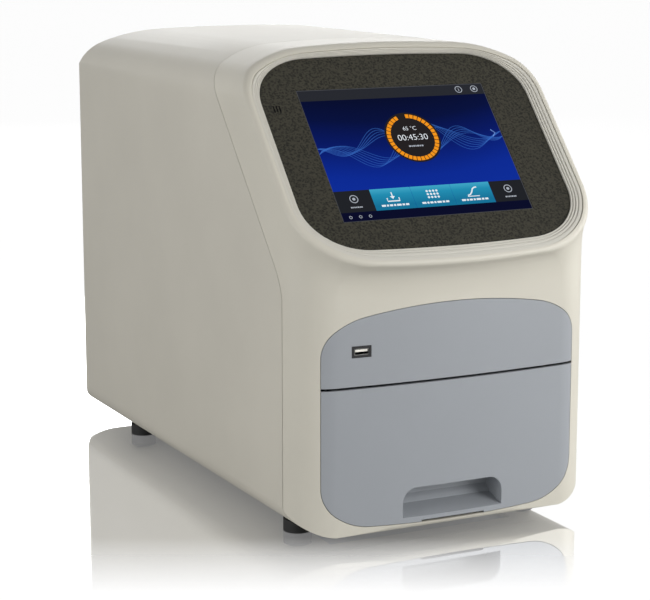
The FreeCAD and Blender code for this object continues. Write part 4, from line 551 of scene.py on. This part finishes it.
def caption(cu, cv, width, height):
    """A row of short bars that stands for a caption too small to read."""
    unit = width / (sum(CAPTION_BARS) + CAPTION_GAP * (len(CAPTION_BARS) - 1))
    low, high = cv - height / 2, cv + height / 2
    bars, u = [], cu - width / 2
    for share in CAPTION_BARS:
        end = u + share * unit
        bars.append([(u, low), (end, low), (end, high), (u, high)])
        u += (share + CAPTION_GAP) * unit
    return bars


def bar_signs():
    """Two ringed signs at the right end of the top bar: a stroke with a dot, and a knob."""
    shapes = []
    bar_v = (1 + BAR_LOW) / 2
    for a in BAR_SIGNS:
        cu, cv = screen_point(a, bar_v)
        shapes += full_ring(cu, cv, 2.7 * MM, 3.3 * MM)
    cu, cv = screen_point(BAR_SIGNS[0], bar_v)
    shapes.append(stroke([(cu, cv - 1.5 * MM), (cu, cv + 0.4 * MM)], 0.6 * MM))
    shapes.append(disc(cu, cv + 1.4 * MM, 0.4 * MM, 12))
    cu, cv = screen_point(BAR_SIGNS[1], bar_v)
    shapes.append(disc(cu, cv, 1.3 * MM, 20))
    return shapes


def shifted(points, cu, cv):
    """Points in millimetres from a centre, as face coordinates."""
    return [(cu + u * MM, cv + v * MM) for u, v in points]


def tray_sign(cu, cv):
    """An arrow that points down into an open tray."""
    tray = shifted([(-5.2, -0.6), (-5.2, -3.6), (5.2, -3.6), (5.2, -0.6)], cu, cv)
    shaft = shifted([(0, 4.6), (0, 0.6)], cu, cv)
    point = shifted([(-2.2, 0.9), (0, -1.7), (2.2, 0.9)], cu, cv)
    return [stroke(tray, 1.1 * MM), stroke(shaft, 1.0 * MM), point]


def wells_sign(cu, cv):
    """Three rows of four dots."""
    pitch = 2.9 * MM
    return [disc(cu + (column - 1.5) * pitch, cv + (row - 0.85) * pitch, 1.0 * MM, 16)
            for row in range(3) for column in range(4)]


def curve_sign(cu, cv):
    """A rising curve over its base line."""
    rise = shifted([(-5.0, -3.4), (-2.6, -2.6), (-0.6, -0.4), (1.2, 2.8), (3.2, 3.9), (5.2, 4.1)], cu, cv)
    base = shifted([(-5.4, -4.3), (5.4, -4.3)], cu, cv)
    return [stroke(rise, 1.1 * MM), stroke(base, 0.7 * MM)]


def make_signs(white, grey):
    """Plain signs in the top bar, on the tiles and at the foot, and a faint arrow at the right."""
    white_shapes, grey_shapes = [], bar_signs()
    tile_v = (TILE_LOW + TILE_HIGH) / 2 + TILE_SIGN_RISE
    centres = [screen_point((TILE_EDGES[i] + TILE_EDGES[i + 1]) / 2, tile_v) for i in range(5)]
    for (cu, cv), sign in zip(centres[1:4], (tray_sign, wells_sign, curve_sign)):
        white_shapes += sign(cu, cv)
        white_shapes += caption(cu, cv - 7.4 * MM, 24.0 * MM, 1.7 * MM)
    for cu, cv in (centres[0], centres[4]):
        grey_shapes += full_ring(cu, cv + 0.6 * MM, 3.0 * MM, 3.7 * MM)
        grey_shapes.append(disc(cu, cv + 0.6 * MM, 1.3 * MM, 20))
        grey_shapes += caption(cu, cv - 7.0 * MM, 10.0 * MM, 1.2 * MM)
    for i in range(3):
        cu, cv = screen_point(FOOT_SIGN_START + FOOT_SIGN_PITCH * i, TILE_LOW / 2)
        grey_shapes += full_ring(cu, cv, 0.9 * MM, 1.35 * MM)
    arrow = stroke(shifted([(-1.6, 3.4), (1.6, 0), (-1.6, -3.4)], *screen_point(*ARROW_PLACE)), 0.9 * MM)
    flat_piece("screen_arrow", [arrow], SIGN_LAYER, thin_glow("screen_faint", srgb(120, 160, 230), 0.6))
    flat_piece("screen_signs", white_shapes, SIGN_LAYER, white)
    flat_piece("screen_marks", grey_shapes, SIGN_LAYER, grey)


def directions():
    """Even directions round the face, the nearest ones turned exactly to the corners of the lit area."""
    turn = 2 * math.pi
    angles = [turn * i / AROUND for i in range(AROUND)]
    for su, sv in ((1, 1), (-1, 1), (-1, -1), (1, -1)):
        exact = math.atan2(sv * SCREEN_H / 2, SCREEN_U + su * SCREEN_W / 2) % turn
        angles[round(exact / turn * AROUND) % AROUND] = exact
    return angles


def reach(outline, angle):
    """Distance from the middle of the face to a closed convex outline in one direction."""
    ray = Vector((math.cos(angle), math.sin(angle)))
    far = 0.0
    for i, start in enumerate(outline):
        edge = outline[(i + 1) % len(outline)] - start
        det = edge.x * ray.y - ray.x * edge.y
        if abs(det) < 1e-15:
            continue
        share = (ray.x * start.y - ray.y * start.x) / det
        if -1e-9 <= share <= 1 + 1e-9:
            far = max(far, (edge.x * start.y - edge.y * start.x) / det)
    return far


def inside_bezel(u, v):
    """Whether a point of the face lies within the dark panel: crowned top and bottom, soft corners."""
    a, b = abs(u - BEZEL_MIDDLE), abs(v)
    width, height = BEZEL_CORNER
    side = BEZEL_HALF - width
    end = (BEZEL_TOP if v > 0 else BEZEL_BOTTOM) - BEZEL_CROWN
    if a > side and b > end - height:
        return ((a - side) / width) ** 2 + ((b - end + height) / height) ** 2 <= 1
    return a <= BEZEL_HALF and b <= end + BEZEL_CROWN * (1 - (a / side) ** 2)


def bezel_reaches(angles):
    """The dark panel's outline as distances from the middle of the face, evened out a little."""
    found = []
    for angle in angles:
        low, high = SEARCH_FROM, SEARCH_TO
        for _ in range(SEARCH_STEPS):
            middle = (low + high) / 2
            if inside_bezel(middle * math.cos(angle), middle * math.sin(angle)):
                low = middle
            else:
                high = middle
        found.append(low)
    last = len(found)
    return [(found[i - 1] + 2 * found[i] + found[(i + 1) % last]) / 4 for i in range(last)]


def ring_piece(name, rows, angles, material, node):
    """A closed ring on the face from rows of (distances, depth); it stands for a node."""
    bm = bmesh.new()
    rings = []
    for far, depth in rows:
        places = [on_face(r * math.cos(t), r * math.sin(t), depth) for r, t in zip(far, angles)]
        rings.append([bm.verts.new(place) for place in places])
    for j, ring in enumerate(rings):
        following = rings[(j + 1) % len(rings)]
        for i in range(len(angles)):
            k = (i + 1) % len(angles)
            bm.faces.new((ring[i], ring[k], following[k], following[i]))
    bmesh.ops.recalc_face_normals(bm, faces=bm.faces)
    for face in bm.faces:
        face.smooth = True
    piece = housing_piece(name, bm, material)
    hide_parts(node)
    sharpen(piece)


def make_face_ring(angles, bezel, material):
    """The pale ring from the rolled lip down to the dark panel, with four shallow beads."""
    spots = [point.co - FACE_CENTRE for point in nodes["screen_surround"].data.vertices]
    seen = [(spot.x, spot.dot(UP_SLOPE)) for spot in spots]
    outline = [Vector(seen[i]) for i in convex_hull_2d(seen)]
    lip = [reach(outline, angle) for angle in angles]

    def between(share):
        return [b + share * (l - b) for b, l in zip(bezel, lip)]

    rows = [(lip, POCKET_DEPTH)]
    for i in range(len(BEAD_SHARES) - 1):
        start, end = BEAD_SHARES[i], BEAD_SHARES[i + 1]
        depth = BEAD_DEPTH + i * BEAD_STEP
        if i > 0:
            rows.append((between(start), depth + GROOVE_DEPTH))
            start -= GROOVE_SHARE
            rows.append((between(start), depth + GROOVE_DEPTH))
        for along, drop in BEAD_PROFILE:
            rows.append((between(start + along * (end - start)), depth + drop * BEAD_RISE))
    rows.append((bezel, POCKET_DEPTH))
    ring_piece("face_ring", rows, angles, material, "screen_surround")


def make_bezel(angles, bezel, material):
    """The dark panel, a plate with a window for the lit area and a fine chamfer along both edges."""
    half_w, half_h = SCREEN_W / 2, SCREEN_H / 2
    signs = ((-1, -1), (1, -1), (1, 1), (-1, 1))
    window = [Vector((SCREEN_U + su * half_w, sv * half_h)) for su, sv in signs]
    hole = [reach(window, angle) for angle in angles]

    def moved(far, by):
        return [r + by for r in far]

    edge, low = moved(bezel, -BEZEL_PLAY), BEZEL_DEPTH + BEZEL_CHAMFER
    rows = [(edge, POCKET_DEPTH), (edge, low), (moved(bezel, -BEZEL_PLAY - BEZEL_CHAMFER), BEZEL_DEPTH),
            (moved(hole, BEZEL_CHAMFER), BEZEL_DEPTH), (hole, low), (hole, POCKET_DEPTH)]
    ring_piece("face_bezel", rows, angles, material, "screen_bezel")


def make_slots():
    """Three short slots in the panel, as near-black plates that stay dark in any light: painted shade
    inside the slots.
    """
    slots = []
    for i in range(3):
        u = SLOT_U + i * SLOT_PITCH
        slots.append([(u, SLOT_LOW), (u + SLOT_WIDE, SLOT_LOW), (u + SLOT_WIDE, SLOT_HIGH), (u, SLOT_HIGH)])
    # painted shade: black glowing plates stand for the dark inside of the slots
    flat_piece("bezel_slot_shade", slots, 1, glow("slot_painted_shade", srgb(4, 4, 4), 0.6), BEZEL_DEPTH)


def sharpen(piece):
    """Smooths the shallow creases of a piece and keeps its real edges crisp."""
    weld = piece.modifiers.new("weld", "WELD")
    weld.merge_threshold = WELD_REACH
    split = piece.modifiers.new("edges", "EDGE_SPLIT")
    split.split_angle = CRISP_EDGE
    weights = piece.modifiers.new("weights", "WEIGHTED_NORMAL")
    weights.keep_sharp = True


def soften(*names):
    """Takes the stored normals off the moulded shells and smooths them afresh."""
    for name in names:
        node = nodes[name]
        normals = node.data.attributes.get("custom_normal")
        if normals is not None:
            node.data.attributes.remove(normals)
        sharpen(node)


def repaint(material, *names):
    """Gives CAD nodes a material in place of their plain one."""
    for name in names:
        slots = nodes[name].data.materials
        slots.clear()
        slots.append(material)


def paint_everything():
    """Materials for every CAD node, and the ring and the panel that stand for two of them."""
    soften("main_cover", "front_fascia", "upper_panel", "drawer_front")
    cover = moulded("cover_grain", srgb(204, 200, 188), 0.46, specular=0.35)
    fascia = moulded("fascia_grain", srgb(208, 204, 191), 0.44, specular=0.4)
    repaint(cover, "main_cover")
    repaint(fascia, "front_fascia")
    angles = directions()
    bezel = bezel_reaches(angles)
    make_face_ring(angles, bezel, moulded("ring_satin", srgb(208, 205, 195), 0.36, depth=0.00001))
    make_bezel(angles, bezel, textured_bezel())
    make_slots()
    panels = moulded("panel_satin", srgb(157, 161, 166), 0.36, depth=0.000012, vary=0.015)
    repaint(panels, "upper_panel", "drawer_front")
    black = moulded("black_moulded", srgb(26, 26, 28), 0.42, vary=0.08)
    repaint(black, "front_usb_socket", "mains_inlet", "switch_frame", "block_fan_frame", "block_fan_rotor",
            "exhaust_fan_frame", "exhaust_fan_rotor")
    repaint(moulded("rocker_gloss", srgb(20, 20, 22), 0.22, vary=0.05), "power_rocker", "camera_lens")
    repaint(moulded("inner_grey", srgb(84, 87, 92), 0.5), "drawer_deck", "cover_carrier", "optics_shroud")
    sheet = metal("zinc_sheet", srgb(176, 179, 182), 0.42)
    repaint(sheet, "drawer_tray", "base_plate", "side_channel_left", "side_channel_right", "optics_deck",
            "wheel_bracket", "rear_panel", "power_supply", "screen_bracket", "screen_module")
    steel = metal("drawn_steel", srgb(168, 170, 173), 0.28)
    repaint(steel, "rail_left", "rail_right", "slide_left", "slide_right", "guide_rods", "lift_screw",
            "rear_screws", "lift_motor", "wheel_motor", "rear_usb_sockets", "network_socket")
    aluminium = metal("machined_aluminium", srgb(206, 208, 210), 0.34, (30.0, 1.0, 1.0))
    repaint(aluminium, "sample_block", "heat_sink", "heater_plate", "lamp_module", "camera", "filter_wheel")
    repaint(metal("bronze", srgb(196, 152, 84), 0.32), "cover_bushes", "inlet_pins")
    repaint(moulded("ceramic", srgb(226, 226, 220), 0.5), "peltier_elements")
    board = moulded("board_green", srgb(22, 92, 52), 0.34, vary=0.2)
    repaint(board, "screen_board", "port_board", "main_board", "driver_board")
    repaint(moulded("foot_rubber", srgb(24, 24, 24), 0.7, vary=0.12), "foot_front_left", "foot_front_right",
            "foot_rear_left", "foot_rear_right")
    glass = Shader("optic_glass")
    glass.set(Base_Color=srgb(210, 225, 235), Transmission_Weight=1.0, Roughness=0.05, IOR=1.5)
    repaint(glass.material, "field_lens", "emission_filters")
    mirror = Shader("silver")
    mirror.set(Base_Color=srgb(232, 232, 236), Metallic=1.0, Roughness=0.03)
    repaint(mirror.material, "fold_mirror")
    cover_glass = Shader("cover_glass")
    cover_glass.set(Base_Color=srgb(8, 8, 12), Roughness=0.08)
    repaint(cover_glass.material, "touch_glass")


def block_piece(name, blocks, material):
    """Plain blocks from their opposite corners, as one piece of the housing."""
    bm = bmesh.new()
    for low, high in blocks:
        for vert in bmesh.ops.create_cube(bm, size=1.0)["verts"]:
            vert.co = Vector([low[i] if vert.co[i] < 0 else high[i] for i in range(3)])
    return housing_piece(name, bm, material)


def make_socket_parts():
    """Plated liner and pale tongue in the mouth of the front socket."""
    (x0, z0), (x1, z1) = SOCKET_LOW, SOCKET_HIGH
    y0, y1 = SOCKET_FRONT + SOCKET_INSET, SOCKET_FRONT + SOCKET_DEEP
    liner = [((x0, y0, z0), (x1, y1, z0 + SOCKET_WALL)), ((x0, y0, z1 - SOCKET_WALL), (x1, y1, z1)),
             ((x0, y0, z0), (x0 + SOCKET_WALL, y1, z1)), ((x1 - SOCKET_WALL, y0, z0), (x1, y1, z1))]
    block_piece("usb_liner", liner, metal("usb_plating", srgb(150, 150, 146), 0.3))
    middle = (z0 + z1) / 2
    tongue = [((x0 + TONGUE_SIDE, SOCKET_FRONT + TONGUE_FRONT, middle),
               (x1 - TONGUE_SIDE, SOCKET_FRONT + TONGUE_BACK, middle + TONGUE_HIGH))]
    block_piece("usb_tongue", tongue, moulded("usb_nylon", srgb(244, 242, 232), 0.4, vary=0.01))


def make_floor():
    """White table: it keeps the shadow and mirrors the object, until both run out towards the camera."""
    mesh = bpy.data.meshes.new("floor")
    corners = [(su * FLOOR_HALF, sv * FLOOR_HALF, 0) for su, sv in ((-1, -1), (1, -1), (1, 1), (-1, 1))]
    mesh.from_pydata(corners, [], [(0, 1, 2, 3)])
    floor = bpy.data.objects.new("floor", mesh)
    bpy.context.scene.collection.objects.link(floor)
    s = Shader("floor_gloss")
    path = s.add("ShaderNodeLightPath")
    towards = s.add("ShaderNodeVectorMath", operation="DOT_PRODUCT")
    s.link(s.place(), towards.inputs[0])
    azimuth = math.radians(CAMERA_AZIMUTH)
    towards.inputs[1].default_value = (math.sin(azimuth), -math.cos(azimuth), 0)
    fade = s.add("ShaderNodeMapRange", From_Min=FADE_START, From_Max=FADE_END, To_Min=MIRROR, To_Max=0.0)
    s.link(towards.outputs["Value"], fade.inputs["Value"])
    white = s.add("ShaderNodeBsdfDiffuse", Color=(FLOOR_GREY, FLOOR_GREY, FLOOR_GREY, 1.0))
    lift = s.add("ShaderNodeEmission", Color=(1.0, 1.0, 1.0, 1.0), Strength=FLOOR_LIFT)
    lit = s.add("ShaderNodeAddShader")
    s.link(white.outputs[0], lit.inputs[0])
    s.link(lift.outputs[0], lit.inputs[1])
    gloss = s.add("ShaderNodeBsdfGlossy", Color=(1.0, 1.0, 1.0, 1.0), Roughness=FLOOR_ROUGH)
    seen = s.add("ShaderNodeMixShader")
    s.link(fade.outputs[0], seen.inputs[0])
    s.link(lit.outputs[0], seen.inputs[1])
    s.link(gloss.outputs[0], seen.inputs[2])
    plain = s.add("ShaderNodeBsdfDiffuse", Color=(FLOOR_BOUNCE, FLOOR_BOUNCE, FLOOR_BOUNCE, 1.0))
    both = s.add("ShaderNodeMixShader")
    s.link(path.outputs["Is Camera Ray"], both.inputs[0])
    s.link(plain.outputs[0], both.inputs[1])
    s.link(seen.outputs[0], both.inputs[2])
    s.link(both.outputs[0], s.tree.nodes["Material Output"].inputs["Surface"])
    mesh.materials.append(s.material)


def soft_box(name, place, size, power):
    """A white rectangle of light that faces the object."""
    data = bpy.data.lights.new(name, "AREA")
    data.shape = "RECTANGLE"
    data.size, data.size_y = size
    data.energy = power
    light = bpy.data.objects.new(name, data)
    bpy.context.scene.collection.objects.link(light)
    light.location = place
    light.rotation_euler = (Vector(LIGHT_TARGET) - Vector(place)).to_track_quat("-Z", "Y").to_euler()


def make_light():
    """White surroundings and four soft boxes; rays to the camera and in gloss see plain white."""
    world = bpy.data.worlds.new("surroundings")
    bpy.context.scene.world = world
    world.use_nodes = True
    tree = world.node_tree
    back = tree.nodes["Background"]
    back.inputs["Color"].default_value = (1.0, 1.0, 1.0, 1.0)
    path = tree.nodes.new("ShaderNodeLightPath")
    either = tree.nodes.new("ShaderNodeMath")
    either.operation = "MAXIMUM"
    tree.links.new(path.outputs["Is Camera Ray"], either.inputs[0])
    tree.links.new(path.outputs["Is Glossy Ray"], either.inputs[1])
    where = tree.nodes.new("ShaderNodeTexCoord")
    parts = tree.nodes.new("ShaderNodeSeparateXYZ")
    tree.links.new(where.outputs["Generated"], parts.inputs["Vector"])
    sky = tree.nodes.new("ShaderNodeMapRange")
    sky.inputs["To Min"].default_value = SKY_LOW
    sky.inputs["To Max"].default_value = SKY_HIGH
    tree.links.new(parts.outputs["Z"], sky.inputs["Value"])
    level = tree.nodes.new("ShaderNodeMapRange")
    tree.links.new(sky.outputs[0], level.inputs["To Min"])
    level.inputs["To Max"].default_value = 1.0
    tree.links.new(either.outputs[0], level.inputs["Value"])
    tree.links.new(level.outputs[0], back.inputs["Strength"])
    for name, place, size, power in SOFT_BOXES:
        soft_box(name, place, size, power)


make_camera()
paint_everything()
make_socket_parts()
make_screen()
make_floor()
make_light()
bpy.context.scene.view_settings.view_transform = "Standard"
